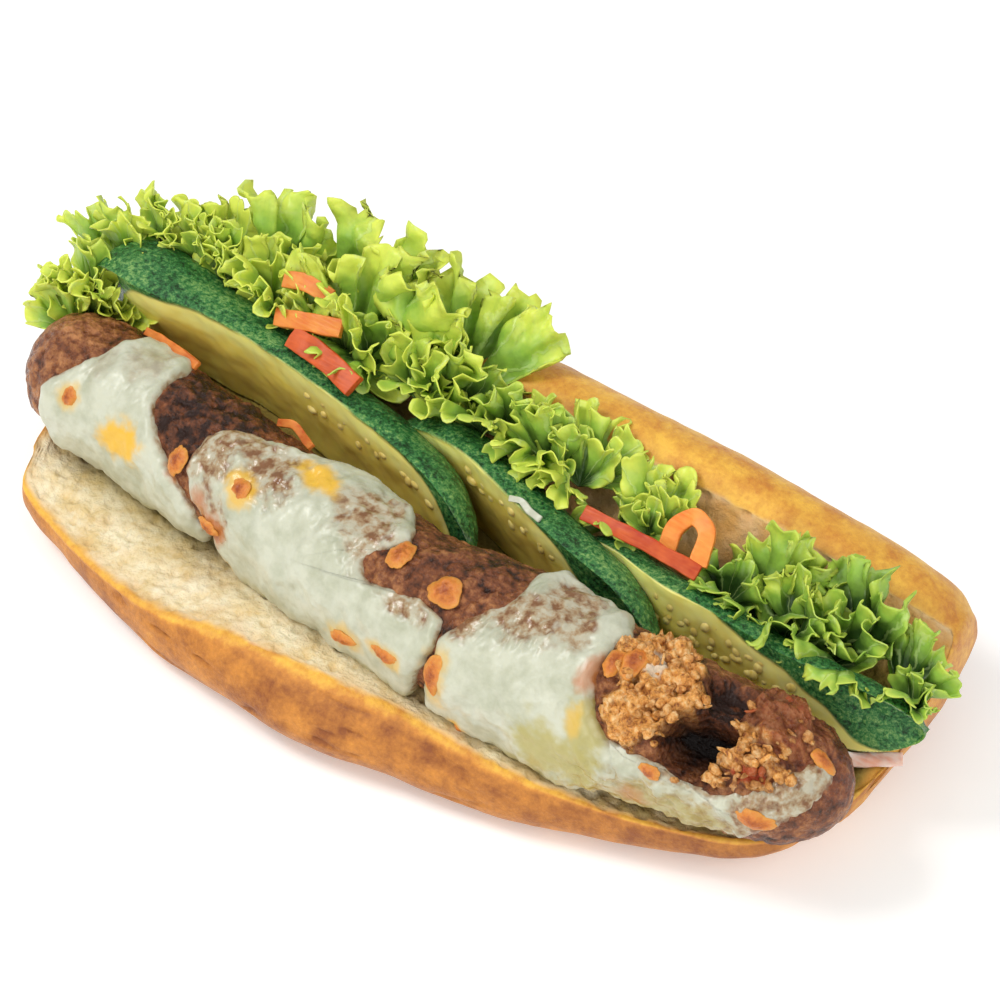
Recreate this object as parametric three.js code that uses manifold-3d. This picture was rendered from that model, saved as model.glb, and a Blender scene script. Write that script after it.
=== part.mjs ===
// A split roll, laid open, with a cheese-covered meat roll, pickled cucumber, carrot and frilly lettuce.
// Millimetres. X runs along the roll, Y from the low front flap to the raised back half, Z up.
// The origin is the middle of the flat spot that the roll rests on.
import * as THREE from "three";
import { mergeVertices } from "three/addons/utils/BufferGeometryUtils.js";
import Module from "manifold-3d";

const wasm = await Module();
wasm.setup();
const { Manifold, Mesh: SolidMesh } = wasm;

// Driving sizes
const HINGE_HEIGHT = 13; // uncut bread under the bottom of the split
const MEAT_LEFT = -137;
const MEAT_RIGHT = 127;
const CHEESE_THICK = 2;
const CHEESE_LIFT = 1.2; // the cheese lies over the meat roll's lumps, not in them
const LEAF_THICK = 0.9;
const GAP = 0.3; // clear space kept between two pieces that touch

// Stations along the roll: [x, front rim y, rim z, crust bulge, underside z, back rim y, back rim z, back reach y]
const ROLL_STATIONS = [
  [-124, -27, 17, 0.5, 10, 35, 35, 47],
  [-121, -35.5, 15.5, 0.8, 7, 36.5, 42, 54],
  [-115, -39.5, 14.5, 1, 5, 37.5, 46, 58],
  [-105, -43, 14, 1, 3.2, 38, 48.5, 60],
  [-82, -50.5, 16, 1.2, 1.2, 38.5, 50.5, 61.5],
  [-60, -54.7, 19, 2.6, 0, 38, 52, 62],
  [-36, -53, 23, 7.5, 0, 37.5, 53, 62],
  [-10, -51.5, 24, 10.5, 0, 37, 53.5, 62],
  [16, -48.5, 23, 9, 0, 37, 53, 62],
  [45, -47, 20.5, 4.6, 0, 38, 52, 62.5],
  [72, -41.2, 18, 1.6, 2.6, 39.5, 49.5, 63],
  [92, -34.4, 17, 0.7, 5.4, 40, 47, 63.5],
  [105, -28, 16.5, 0.5, 7.4, 41, 44.5, 63.5],
  [113, -21, 17, 0.5, 10.5, 43, 41, 63],
  [118, -10, 18, 0.5, 14, 46, 36, 60.5],
];
// Stations along the meat roll: [x, middle y, middle z, radius]
const MEAT_STATIONS = [
  [-137, -8, 32, 17.2],
  [-100, -8.5, 32, 16.6],
  [-62, -15, 33.5, 16.4],
  [-28, -21, 35.2, 17.2],
  [0, -24.2, 36.5, 18],
  [40, -24, 37.2, 20.4],
  [70, -22.8, 35.6, 19],
  [100, -18.8, 34.4, 18],
  [127, -16, 33, 15],
];

/** Reads one column of a station table at x, on a smooth curve through the stations. */
function along(table, column, x) {
  const last = table.length - 1;
  const slope = (i) => {
    const a = Math.max(0, i - 1);
    const b = Math.min(last, i + 1);
    return (table[b][column] - table[a][column]) / (table[b][0] - table[a][0]);
  };
  let i = 0;
  while (i < last - 1 && x > table[i + 1][0]) i += 1;
  const width = table[i + 1][0] - table[i][0];
  const t = THREE.MathUtils.clamp((x - table[i][0]) / width, 0, 1);
  const rise = t * t * (3 - 2 * t);
  const start = t * (1 - t) * (1 - t) * width * slope(i);
  const end = t * t * (t - 1) * width * slope(i + 1);
  return table[i][column] * (1 - rise) + table[i + 1][column] * rise + start + end;
}

/** A gentle uneven field between about -1 and 1, the sum of three waves that don't repeat together. */
function uneven(a, b, seed) {
  const first = Math.sin(a * 1.0 + b * 1.7 + seed);
  const second = Math.sin(a * 2.3 - b * 1.1 + seed * 2.1);
  const third = Math.sin(a * 4.1 + b * 3.3 + seed * 0.7);
  return 0.5 * first + 0.3 * second + 0.2 * third;
}

/** The scale of a section near a rounded end: 1 in the middle, falling as a quarter ellipse to the tip. */
function endRound(x, left, right, length, smallest) {
  const inside = Math.min(x - left, right - x);
  const t = THREE.MathUtils.clamp(1 - inside / length, 0, 1);
  return smallest + (1 - smallest) * Math.sqrt(1 - t * t);
}

/** Steps from a to b, closer together near both ends, where a shape rounds off. */
function easedSteps(a, b, count) {
  const steps = [];
  for (let i = 0; i <= count; i += 1) {
    const t = i / count;
    const eased = 0.72 * t + 0.28 * 0.5 * (1 - Math.cos(Math.PI * t));
    steps.push(a + (b - a) * eased);
  }
  return steps;
}

/** A geometry from a list of points and triangles. */
function geometryOf(points, faces) {
  const geometry = new THREE.BufferGeometry();
  geometry.setAttribute("position", new THREE.Float32BufferAttribute(points.flat(), 3));
  geometry.setIndex(faces.flat());
  return geometry;
}

/** A closed skin through rings of equally many points, each end closed by a fan to its middle. */
function loft(rings) {
  const count = rings[0].length;
  const points = rings.flat();
  const faces = [];
  for (let r = 0; r < rings.length - 1; r += 1) {
    for (let i = 0; i < count; i += 1) {
      const a = r * count + i;
      const b = r * count + ((i + 1) % count);
      faces.push([a, b, a + count], [b, b + count, a + count]);
    }
  }
  [0, rings.length - 1].forEach((r) => {
    const middle = points.length;
    const sum = rings[r].reduce((s, p) => [s[0] + p[0], s[1] + p[1], s[2] + p[2]], [0, 0, 0]);
    points.push(sum.map((v) => v / count));
    for (let i = 0; i < count; i += 1) {
      const a = r * count + i;
      const b = r * count + ((i + 1) % count);
      faces.push(r === 0 ? [middle, b, a] : [middle, a, b]);
    }
  });
  return geometryOf(points, faces);
}

/** A thin closed solid from two grids of points, outer and inner, that share their outline. */
function shell(outer, inner) {
  const rows = outer.length;
  const columns = outer[0].length;
  const points = [...outer.flat(), ...inner.flat()];
  const half = rows * columns;
  const faces = [];
  const at = (r, c) => r * columns + c;
  for (let r = 0; r < rows - 1; r += 1) {
    for (let c = 0; c < columns - 1; c += 1) {
      const [a, b, d, e] = [at(r, c), at(r, c + 1), at(r + 1, c), at(r + 1, c + 1)];
      faces.push([a, b, e], [a, e, d]);
      faces.push([half + a, half + e, half + b], [half + a, half + d, half + e]);
    }
  }
  const edge = [];
  for (let c = 0; c < columns - 1; c += 1) edge.push(at(0, c));
  for (let r = 0; r < rows - 1; r += 1) edge.push(at(r, columns - 1));
  for (let c = columns - 1; c > 0; c -= 1) edge.push(at(rows - 1, c));
  for (let r = rows - 1; r > 0; r -= 1) edge.push(at(r, 0));
  edge.forEach((a, i) => {
    const b = edge[(i + 1) % edge.length];
    faces.push([a, half + a, half + b], [a, half + b, b]);
  });
  return geometryOf(points, faces);
}

/** A three.js geometry as a solid that can be joined and cut. */
function solidOf(geometry) {
  const bare = geometry.clone();
  ["normal", "uv"].forEach((name) => bare.deleteAttribute(name));
  const merged = mergeVertices(bare, 1e-3);
  const made = new Manifold(
    new SolidMesh({
      numProp: 3,
      vertProperties: new Float32Array(merged.attributes.position.array),
      triVerts: new Uint32Array(merged.index.array),
    }),
  );
  if (made.volume() > 0) return made;
  const flipped = new Uint32Array(merged.index.array).reverse();
  return new Manifold(
    new SolidMesh({
      numProp: 3,
      vertProperties: new Float32Array(merged.attributes.position.array),
      triVerts: flipped,
    }),
  );
}

/** The largest single body of a solid: scraps that a cut leaves are dropped. */
function largestBody(solid) {
  const bodies = solid.decompose();
  return bodies.reduce((best, body) => (body.volume() > best.volume() ? body : best), bodies[0]);
}

/** A solid as a three.js geometry again. */
function geometryFrom(solid) {
  const mesh = solid.getMesh();
  const points = [];
  for (let i = 0; i < mesh.numVert; i += 1) {
    points.push(Array.from(mesh.vertProperties.subarray(i * mesh.numProp, i * mesh.numProp + 3)));
  }
  const faces = [];
  for (let i = 0; i < mesh.triVerts.length; i += 3) faces.push(Array.from(mesh.triVerts.subarray(i, i + 3)));
  return geometryOf(points, faces);
}

// Bread roll: split from the front, front flap laid flat, back half raised

/** The outline of the roll across its length at x, as [y, z] pairs; grow lifts the two cut faces. */
function rollSection(x, grow) {
  const [rimY, rimZ, bulge, under, backY, backZ, reach] = [1, 2, 3, 4, 5, 6, 7].map((c) => along(ROLL_STATIONS, c, x));
  const frontHigh = rimZ - under;
  const backHigh = backZ - under;
  const out = reach - backY;
  const hinge = Math.max(under + 4, HINGE_HEIGHT * (0.4 + (0.6 * backZ) / 53));
  const crust = [
    [rimY - 0.3, rimZ],
    [rimY - 0.5 - 0.42 * bulge, rimZ - 0.1 * frontHigh],
    [rimY - 0.5 - 0.85 * bulge, rimZ - 0.33 * frontHigh],
    [rimY - bulge, rimZ - 0.6 * frontHigh],
    [rimY + 2 - 0.75 * bulge, under + 0.15 * frontHigh],
    [rimY * 0.86, under],
    [rimY * 0.45, under * 0.75],
    [8, under * 0.7],
    [backY - 6, under * 0.8],
    [backY + 0.35 * out, under + 0.03 * backHigh],
    [backY + 0.72 * out, under + 0.17 * backHigh],
    [backY + 0.96 * out, under + 0.38 * backHigh],
    [reach, under + 0.6 * backHigh],
    [backY + 0.86 * out, under + 0.84 * backHigh],
    [backY + 0.58 * out, under + 1.01 * backHigh],
    [backY + 0.25 * out, under + 1.055 * backHigh],
    [backY + 0.5, backZ + 0.6],
  ];
  const lift = 1.4 * grow;
  const backFace = [0.96, 0.7, 0.46, 0.22].map((t) => [
    backY * t - lift,
    hinge + (backZ - hinge) * t ** 1.25 + lift,
  ]);
  const bottom = [[-1.5, hinge + 0.3 + lift]];
  const frontFace = [0.2, 0.44, 0.68, 0.9].map((t) => [
    rimY * t,
    hinge + (rimZ - hinge) * t + 1.1 * Math.sin(Math.PI * t) + lift,
  ]);
  return [...crust, ...backFace, ...bottom, ...frontFace];
}

/** The whole roll as one solid. */
function rollSolid(grow) {
  const left = ROLL_STATIONS[0][0];
  const right = ROLL_STATIONS[ROLL_STATIONS.length - 1][0];
  const rings = easedSteps(left, right, 32).map((x) =>
    rollSection(x, grow).map(([y, z]) => {
      const swell = z < 0.5 ? 1 : 1 + 0.01 * uneven(x * 0.09, y * 0.08 + z * 0.06, 1.3);
      return [x, y * swell, Math.max(0, z)];
    }),
  );
  return solidOf(loft(rings));
}

// Meat roll, torn open near its right end

/** The distance from the meat roll's middle line to its surface, at x and at an angle from +Y round towards +Z. */
function meatRadius(x, angle) {
  const base = along(MEAT_STATIONS, 3, x);
  const lumps = 0.05 * uneven(x * 0.13, angle * 1.6, 2.2) + 0.02 * uneven(x * 0.42, angle * 4.0, 0.4);
  return base * (1 + lumps);
}

/** A point on or over the meat roll's surface. */
function onMeat(x, angle, lift) {
  const k = endRound(x, MEAT_LEFT, MEAT_RIGHT, 18, 0.12);
  const r = meatRadius(x, angle) * k + lift;
  const y = along(MEAT_STATIONS, 1, x) + r * Math.cos(angle);
  const z = along(MEAT_STATIONS, 2, x) + r * Math.sin(angle) * 0.99;
  return [x, y, z];
}

/** The meat roll's outer form, grown outwards by lift. */
function meatForm(lift, around, steps) {
  const rings = easedSteps(MEAT_LEFT - lift, MEAT_RIGHT + lift, steps).map((x) => {
    const ring = [];
    for (let i = 0; i < around; i += 1) {
      const inside = THREE.MathUtils.clamp(x, MEAT_LEFT, MEAT_RIGHT);
      const [, y, z] = onMeat(inside, (i / around) * 2 * Math.PI, lift);
      ring.push([x, y, z]);
    }
    return ring;
  });
  return solidOf(loft(rings));
}

// The tear: an uneven hollow in the top, from TEAR_FROM to TEAR_TO, facing up and to the front
const TEAR_FROM = 62;
const TEAR_TO = 112;
const TEAR_ANGLE = THREE.MathUtils.degToRad(112);
const TEAR_DEEP = 13;

/** A lumpy spindle that is cut out of the meat roll to leave the tear. */
function tearForm() {
  const steps = 12;
  const around = 14;
  const rings = [];
  for (let s = 0; s <= steps; s += 1) {
    const t = s / steps;
    const x = TEAR_FROM + (TEAR_TO - TEAR_FROM) * t;
    const [, y, z] = onMeat(x, TEAR_ANGLE, 2);
    const wide = 2 + 9 * Math.sin(Math.PI * t) ** 0.7;
    const ring = [];
    for (let i = 0; i < around; i += 1) {
      const a = (i / around) * 2 * Math.PI;
      const rough = 1 + 0.22 * uneven(t * 9, a * 2.6, 4.0);
      const along1 = wide * Math.cos(a) * rough;
      const deep = TEAR_DEEP * Math.sin(Math.PI * t) ** 0.6 * Math.sin(a) * rough;
      const c = Math.cos(TEAR_ANGLE);
      const n = Math.sin(TEAR_ANGLE);
      ring.push([x + 1.5 * Math.sin(a * 3 + t * 5), y - along1 * n + deep * c, z + along1 * c + deep * n]);
    }
    rings.push(ring);
  }
  return solidOf(loft(rings));
}

// Melted cheese: patches of the meat roll's surface, each an uneven outline filled from its middle

/** Points spaced evenly round a closed outline of [x, angle in degrees] corners, on a smooth curve through them. */
function smoothOutline(corners, count) {
  const curve = new THREE.CatmullRomCurve3(
    corners.map(([x, angle]) => new THREE.Vector3(x, angle * 0.3, 0)),
    true,
    "catmullrom",
    0.35,
  );
  return curve.getSpacedPoints(count).slice(0, count).map((p) => [p.x, p.y / 0.3]);
}

/** One patch of cheese: corners are [x, angle], heart is the point that it is filled from. */
function cheesePatch({ corners, heart, count, thick, seed }) {
  const outline = smoothOutline(corners, count);
  const rings = [0.3, 0.56, 0.78, 0.93, 1];
  const full = [1, 1, 1, 0.85, 0.3];
  const points = [];
  const faces = [];
  const place = ([x, angle], part, top) => {
    const inside = thick * part * (1 + 0.2 * uneven(x * 0.17, angle * 0.05, seed));
    const foot = THREE.MathUtils.clamp((angle - 190) / 40, 0, 1) * 2.2 * part;
    return onMeat(x, THREE.MathUtils.degToRad(angle), top ? CHEESE_LIFT + inside + foot : CHEESE_LIFT);
  };
  [true, false].forEach((top) => {
    const start = points.length;
    points.push(place(heart, 1, top));
    rings.forEach((t, r) => {
      outline.forEach(([x, angle]) => {
        const spot = [heart[0] + (x - heart[0]) * t, heart[1] + (angle - heart[1]) * t];
        points.push(place(spot, full[r], top));
      });
    });
    for (let i = 0; i < count; i += 1) {
      const next = (i + 1) % count;
      const fan = [start, start + 1 + i, start + 1 + next];
      faces.push(top ? fan : [fan[0], fan[2], fan[1]]);
      for (let r = 0; r < rings.length - 1; r += 1) {
        const a = start + 1 + r * count + i;
        const b = start + 1 + r * count + next;
        const quads = [[a, a + count, b + count], [a, b + count, b]];
        quads.forEach((f) => faces.push(top ? f : [f[0], f[2], f[1]]));
      }
    }
  });
  const outer = 1 + (rings.length - 1) * count;
  const lower = 1 + rings.length * count + outer;
  for (let i = 0; i < count; i += 1) {
    const next = (i + 1) % count;
    faces.push([outer + i, lower + i, lower + next], [outer + i, lower + next, outer + next]);
  }
  return geometryOf(points, faces);
}

// Angles round the meat roll, in degrees: 90 is the top, 180 the front, 235 near the crumb
const CHEESE = {
  cheese_left: {
    corners: [
      [-123, 154], [-118, 132], [-111, 102], [-106, 56], [-96, 42], [-88, 58], [-89, 95], [-86, 126],
      [-79, 147], [-71, 166], [-66, 190], [-70, 228], [-88, 238], [-108, 234], [-120, 200],
    ],
    heart: [-97, 158],
    count: 26,
    thick: CHEESE_THICK,
    seed: 0.6,
  },
  cheese_middle: {
    corners: [
      [-70, 146], [-70, 118], [-66, 94], [-56, 76], [-44, 68], [-35, 40], [-22, 36], [-10, 50], [-11, 87],
      [-15, 108], [-11, 134], [4, 138], [16, 136], [16, 156], [12, 186], [9, 226], [-11, 238], [-32, 238],
      [-54, 236], [-56, 212], [-60, 185], [-65, 166],
    ],
    heart: [-31, 150],
    count: 34,
    thick: CHEESE_THICK,
    seed: 1.9,
  },
  cheese_right: {
    corners: [
      [22, 146], [31, 124], [41, 102], [44, 84], [36, 62], [40, 42], [53, 36], [63, 54], [63, 82], [57, 105],
      [60, 139], [65, 168], [67, 188], [64, 226], [52, 240], [34, 242], [17, 230], [17, 192], [20, 166],
    ],
    heart: [42, 158],
    count: 30,
    thick: CHEESE_THICK,
    seed: 3.1,
  },
  cheese_end: {
    corners: [
      [72, 168], [84, 160], [98, 166], [110, 146], [117, 112], [122, 88], [124, 116], [119, 146], [113, 180],
      [101, 208], [86, 224], [74, 224], [70, 196],
    ],
    heart: [98, 184],
    count: 24,
    thick: 0.9,
    seed: 4.4,
  },
};

// Pickled cucumber: three long slices standing on edge, cut face to the front, skin left on the round back

/** One slice from stations [x, cut face y, middle z, radius, forward lean of the cut face, depth over radius]. */
function pickleForm(stations, grow) {
  const around = 14;
  const left = stations[0][0];
  const right = stations[stations.length - 1][0];
  const rings = easedSteps(left - grow, right + grow, 16).map((x) => {
    const at = THREE.MathUtils.clamp(x, left, right);
    const [faceY, middleZ, radius, lean, deep] = [1, 2, 3, 4, 5].map((c) => along(stations, c, at));
    const end = endRound(at, left, right, 20, 0.12);
    const ring = [];
    for (let i = 0; i < around; i += 1) {
      const angle = ((i + 0.5) / around) * 2 * Math.PI;
      const bumps = 1 + 0.025 * uneven(x * 0.13, angle * 2, 5);
      const r = radius * end * bumps + grow;
      const back = Math.max(-grow, Math.cos(angle) * r * deep);
      const high = Math.sin(angle) * r;
      const y = faceY + back * Math.cos(lean) - high * Math.sin(lean);
      ring.push([x, y, middleZ + high * Math.cos(lean) + back * Math.sin(lean)]);
    }
    return ring;
  });
  return solidOf(loft(rings));
}

const PICKLES = {
  pickle_left: [
    [-133, 13, 47, 14, 0.4, 1.3], [-111, 9.8, 44.5, 16, 0.3, 1.26], [-94, 12, 42, 16.5, 0.2, 1.03],
    [-76, 11.9, 41, 16, 0.2, 0.95], [-50, 8.4, 39.5, 16, 0.14, 0.88], [-24, 3.6, 39, 15.5, 0.12, 0.86],
    [-8, -1, 38, 15, 0.1, 0.86], [5, -5, 37, 14, 0.1, 0.86],
  ],
  pickle_middle: [
    [-36, 16, 38, 14, 0.16, 0.9], [-8, 12, 39.5, 15.5, 0.16, 0.9], [12, 6.5, 38.5, 15.5, 0.16, 0.88],
    [31, 1.5, 38, 15, 0.14, 0.86], [49, -2, 36, 14.5, 0.1, 0.86], [62, -4, 34, 13, 0.1, 0.86],
  ],
  pickle_right: [
    [26, 14, 36, 12, 0.03, 0.82], [54, 6, 36, 14, 0.03, 0.82], [72, 5, 36.5, 14, 0.03, 0.82],
    [91, 4, 36.5, 14, 0.03, 0.82], [107, 4.5, 37, 13, 0.03, 0.82], [120, 7, 37.5, 11.5, 0.03, 0.85],
    [132, 11, 38, 9, 0.03, 0.9],
  ],
};

// Lettuce: thin frilly leaves that stand behind the cucumber and lean on the raised half of the roll

/** One leaf from stations [x, foot y, foot z, length, lean in degrees above level]. */
function leafForm({ stations, columns, waves, frill, curl, seed }) {
  const rows = 5;
  const left = stations[0][0];
  const right = stations[stations.length - 1][0];
  const middle = (left + right) / 2;
  const grid = (side) =>
    Array.from({ length: rows + 1 }, (_, r) => {
      const t = r / rows;
      return Array.from({ length: columns + 1 }, (_, c) => {
        const s = c / columns;
        const x = left + (right - left) * s;
        const [footY, footZ, length, lean] = [1, 2, 3, 4].map((k) => along(stations, k, x));
        const angle = THREE.MathUtils.degToRad(lean + curl * t * t);
        const run = length * t * (1 + 0.1 * t * uneven(s * 24, 0, seed));
        const turn = s * waves * 2 * Math.PI + 0.9 * t + seed;
        const calm = 0.3 + 0.7 * Math.sqrt(Math.sin(Math.PI * THREE.MathUtils.clamp(s, 0, 1)) + 1e-9);
        const ripple = frill * calm * t ** 1.4 * (Math.sin(turn) + 0.35 * Math.sin(turn * 2.3 + seed));
        const off = ripple + (side * LEAF_THICK) / 2;
        const spread = (x - middle) * 0.06 * t + frill * 0.35 * t * Math.cos(turn);
        return [
          x + spread,
          footY + run * Math.cos(angle) - off * Math.sin(angle),
          footZ + run * Math.sin(angle) + off * Math.cos(angle),
        ];
      });
    });
  return shell(grid(1), grid(-1));
}

const LEAVES = {
  lettuce_back_left: {
    stations: [
      [-134, 32, 52, 6, 60], [-118, 33, 53, 9, 56], [-106, 32, 52, 18, 52], [-84, 28.5, 48, 31, 49],
      [-62, 27, 45.5, 35, 49], [-46.5, 27, 45.5, 31, 49],
    ],
    columns: 26, waves: 5.5, frill: 3, curl: 4, seed: 0.4,
  },
  lettuce_front_left: {
    stations: [
      [-145, 0, 40, 10, 62], [-140, 3, 41.5, 19, 62], [-133, 16, 45, 17, 64], [-125, 28.5, 51.5, 11, 74],
      [-108, 31, 53, 11, 80], [-86, 28, 50, 13, 78], [-62, 25.5, 48.5, 13, 78],
    ],
    columns: 24, waves: 5.5, frill: 2, curl: 6, seed: 2.2,
  },
  lettuce_back_middle: {
    stations: [
      [-41, 27, 45.5, 29, 49], [-14, 27, 45.5, 29, 49], [5, 27, 45.5, 22, 49],
      [22, 27, 45.5, 18, 48], [38, 26, 44, 13, 48], [48, 25, 43, 8, 48],
    ],
    columns: 26, waves: 5.5, frill: 2.6, curl: 2, seed: 1.3,
  },
  lettuce_front_middle: {
    stations: [
      [-57, 25.5, 49, 14, 76], [-30, 25, 48.5, 17, 70], [-10, 25, 48, 18, 68], [10, 24, 46, 17, 68],
      [28, 22.5, 43, 16, 68], [43, 20.5, 40, 13, 70],
    ],
    columns: 26, waves: 6, frill: 2.2, curl: -8, seed: 3.3,
  },
  lettuce_right: {
    stations: [
      [61, 19.5, 37, 9, 56], [69, 19.5, 36.5, 19, 52], [82, 19, 36, 24, 50], [100, 18.5, 36, 28, 48],
      [116, 19, 36, 25, 48], [126, 19, 36, 19, 46], [136, 17, 35.5, 9, 40],
    ],
    columns: 26, waves: 5.5, frill: 2.6, curl: 4, seed: 4.1,
  },
};

// Carrot and white radish: flat strips bent along a line, given by the points that they pass through

/** One strip through the points; wide is across it, thick is its depth towards the given facing direction. */
function stripForm({ path, wide, thick, facing }) {
  const line = new THREE.CatmullRomCurve3(path.map((p) => new THREE.Vector3(...p)), false, "centripetal");
  const steps = 7;
  const out = new THREE.Vector3(...facing).normalize();
  const rings = [];
  for (let i = 0; i <= steps; i += 1) {
    const t = i / steps;
    const middle = line.getPoint(t);
    const run = line.getTangent(t);
    const side = new THREE.Vector3().crossVectors(run, out).normalize();
    const top = new THREE.Vector3().crossVectors(side, run).normalize();
    const k = i === 0 || i === steps ? 0.7 : 1;
    const ring = [[0.5, 0.28], [0.28, 0.5], [-0.28, 0.5], [-0.5, 0.28], [-0.5, -0.28], [-0.28, -0.5], [0.28, -0.5], [0.5, -0.28]];
    rings.push(
      ring.map(([a, b]) =>
        middle.clone().addScaledVector(side, a * wide * k).addScaledVector(top, b * thick * k).toArray(),
      ),
    );
  }
  return loft(rings);
}

const TO_FRONT = [0.2, -0.6, 0.77];
const STRIPS = {
  carrot_left_upper: {
    path: [[-80, 17.5, 61], [-71, 19, 63], [-61, 21, 65]],
    wide: 5, thick: 2.4, facing: TO_FRONT,
  },
  carrot_left_lower: {
    path: [[-69, 15.5, 59.5], [-57, 13, 60], [-45, 9.5, 59.5]],
    wide: 7, thick: 2.4, facing: TO_FRONT,
  },
  carrot_back: {
    path: [[-84, 32.5, 62], [-75, 33.5, 63.5], [-66, 34, 62]],
    wide: 4.5, thick: 2, facing: TO_FRONT,
  },
  carrot_long: {
    path: [[27, 10, 54.5], [46, 10.5, 54.5], [62, 10.5, 54.5], [74, 11, 54]],
    wide: 5.5, thick: 2.4, facing: TO_FRONT,
  },
  carrot_loop: {
    path: [[51, 16, 48], [50, 21, 53], [54, 24, 57], [59, 22, 56], [61, 15.5, 51]],
    wide: 4.6, thick: 2.4, facing: TO_FRONT,
  },
  radish_strip: {
    path: [[104, 0, 22], [115, 5, 22.5], [125, 11, 24.5]],
    wide: 4.5, thick: 2.6, facing: TO_FRONT,
  },
};

const group = new THREE.Group();

/** Adds one named piece to the group. */
function addPiece(name, solid, material) {
  const geometry = geometryFrom(solid);
  geometry.computeVertexNormals();
  const mesh = new THREE.Mesh(geometry, material);
  mesh.name = name;
  group.add(mesh);
}

const CRUST = new THREE.MeshStandardMaterial({ color: 0xd98a34, roughness: 0.6, metalness: 0 });
const MEAT = new THREE.MeshStandardMaterial({ color: 0x6b3b26, roughness: 0.6, metalness: 0 });
const CHEESE_WHITE = new THREE.MeshStandardMaterial({ color: 0xe6e8da, roughness: 0.4, metalness: 0 });
const PICKLE = new THREE.MeshStandardMaterial({ color: 0x2f6a3a, roughness: 0.35, metalness: 0 });
const LETTUCE = new THREE.MeshStandardMaterial({ color: 0x9ccb3b, roughness: 0.45, metalness: 0 });
const CARROT = new THREE.MeshStandardMaterial({ color: 0xe97a2c, roughness: 0.4, metalness: 0 });

const meatSpace = meatForm(GAP, 26, 44);
const rollSpace = rollSolid(GAP);
addPiece("roll", largestBody(rollSolid(0).subtract(meatSpace)), CRUST);
addPiece("meat_roll", largestBody(meatForm(0, 26, 44).subtract(tearForm())), MEAT);
Object.entries(CHEESE).forEach(([name, patch]) => {
  addPiece(name, largestBody(solidOf(cheesePatch(patch)).subtract(rollSpace)), CHEESE_WHITE);
});
let taken = meatForm(CHEESE_LIFT + CHEESE_THICK * 1.3, 22, 30).add(rollSpace);
Object.entries(PICKLES).forEach(([name, slice]) => {
  addPiece(name, largestBody(pickleForm(slice, 0).subtract(taken)), PICKLE);
  taken = taken.add(pickleForm(slice, GAP));
});
Object.entries(LEAVES).forEach(([name, leaf]) => {
  addPiece(name, solidOf(leafForm(leaf)), LETTUCE);
});
Object.entries(STRIPS).forEach(([name, strip]) => {
  addPiece(name, solidOf(stripForm(strip)), CARROT);
});

export default group;
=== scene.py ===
"""A banh mi sandwich: a split roll with a cheese-covered meat roll, cucumber, carrot and frilly lettuce.

Sizes are in millimetres and finished meshes in metres. X runs along the roll, Y from the low front
flap to the raised back half, Z up. The origin is the middle of the flat spot the roll rests on.
"""

import logging
import math
from collections.abc import Callable, Sequence
from dataclasses import dataclass, field
from enum import Enum

import bpy
import numpy as np
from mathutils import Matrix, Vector

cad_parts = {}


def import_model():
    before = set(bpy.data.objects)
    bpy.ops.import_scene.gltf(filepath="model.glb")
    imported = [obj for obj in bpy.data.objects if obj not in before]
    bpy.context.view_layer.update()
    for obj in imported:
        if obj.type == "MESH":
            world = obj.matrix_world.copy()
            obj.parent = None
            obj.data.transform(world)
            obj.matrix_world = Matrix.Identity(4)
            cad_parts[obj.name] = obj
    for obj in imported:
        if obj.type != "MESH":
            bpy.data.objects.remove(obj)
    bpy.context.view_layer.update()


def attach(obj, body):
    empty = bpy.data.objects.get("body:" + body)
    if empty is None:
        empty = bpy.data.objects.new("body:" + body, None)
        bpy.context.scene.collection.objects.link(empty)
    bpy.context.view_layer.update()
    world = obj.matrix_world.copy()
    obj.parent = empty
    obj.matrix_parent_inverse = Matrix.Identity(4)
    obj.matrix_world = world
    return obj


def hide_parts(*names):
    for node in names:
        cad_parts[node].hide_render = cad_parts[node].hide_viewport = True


log = logging.getLogger("sandwich")

MM = 0.001
SEED_DRAW = 77  # fixes where the cucumber's seeds lie
Place = Callable[[np.ndarray, np.ndarray], np.ndarray]


# Reading and shaping numbers

def along(table: np.ndarray, column: int, x: np.ndarray) -> np.ndarray:
    """Read one column of a station table on a smooth curve through its stations.

    Args:
        table: One row for each station, its first number being its place.
        column: The column to read.
        x: The places to read at.

    Returns:
        The value at each place.
    """
    knots, values = table[:, 0], table[:, column]
    last = len(knots) - 1
    before = np.maximum(np.arange(last + 1) - 1, 0)
    after = np.minimum(np.arange(last + 1) + 1, last)
    slopes = (values[after] - values[before]) / (knots[after] - knots[before])
    i = np.clip(np.searchsorted(knots, x) - 1, 0, last - 1)
    width = knots[i + 1] - knots[i]
    t = np.clip((x - knots[i]) / width, 0.0, 1.0)
    rise = t * t * (3 - 2 * t)
    start = t * (1 - t) ** 2 * width * slopes[i]
    end = t * t * (t - 1) * width * slopes[i + 1]
    return values[i] * (1 - rise) + values[i + 1] * rise + start + end


def ease(low: float, high: float, value: np.ndarray) -> np.ndarray:
    """Return 0 below low, 1 above high and a smooth step between."""
    t = np.clip((value - low) / (high - low), 0.0, 1.0)
    return t * t * (3 - 2 * t)


def eased_steps(t: np.ndarray) -> np.ndarray:
    """Return even steps drawn a little closer together near both ends."""
    return 0.72 * t + 0.14 * (1 - np.cos(np.pi * t))


def uneven(a: np.ndarray, b: np.ndarray, seed: float) -> np.ndarray:
    """Return the sum of three slow waves that don't repeat together, from about -1 to 1."""
    first = np.sin(a + b * 1.7 + seed)
    second = np.sin(a * 2.3 - b * 1.1 + seed * 2.1)
    third = np.sin(a * 4.1 + b * 3.3 + seed * 0.7)
    return 0.5 * first + 0.3 * second + 0.2 * third


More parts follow.
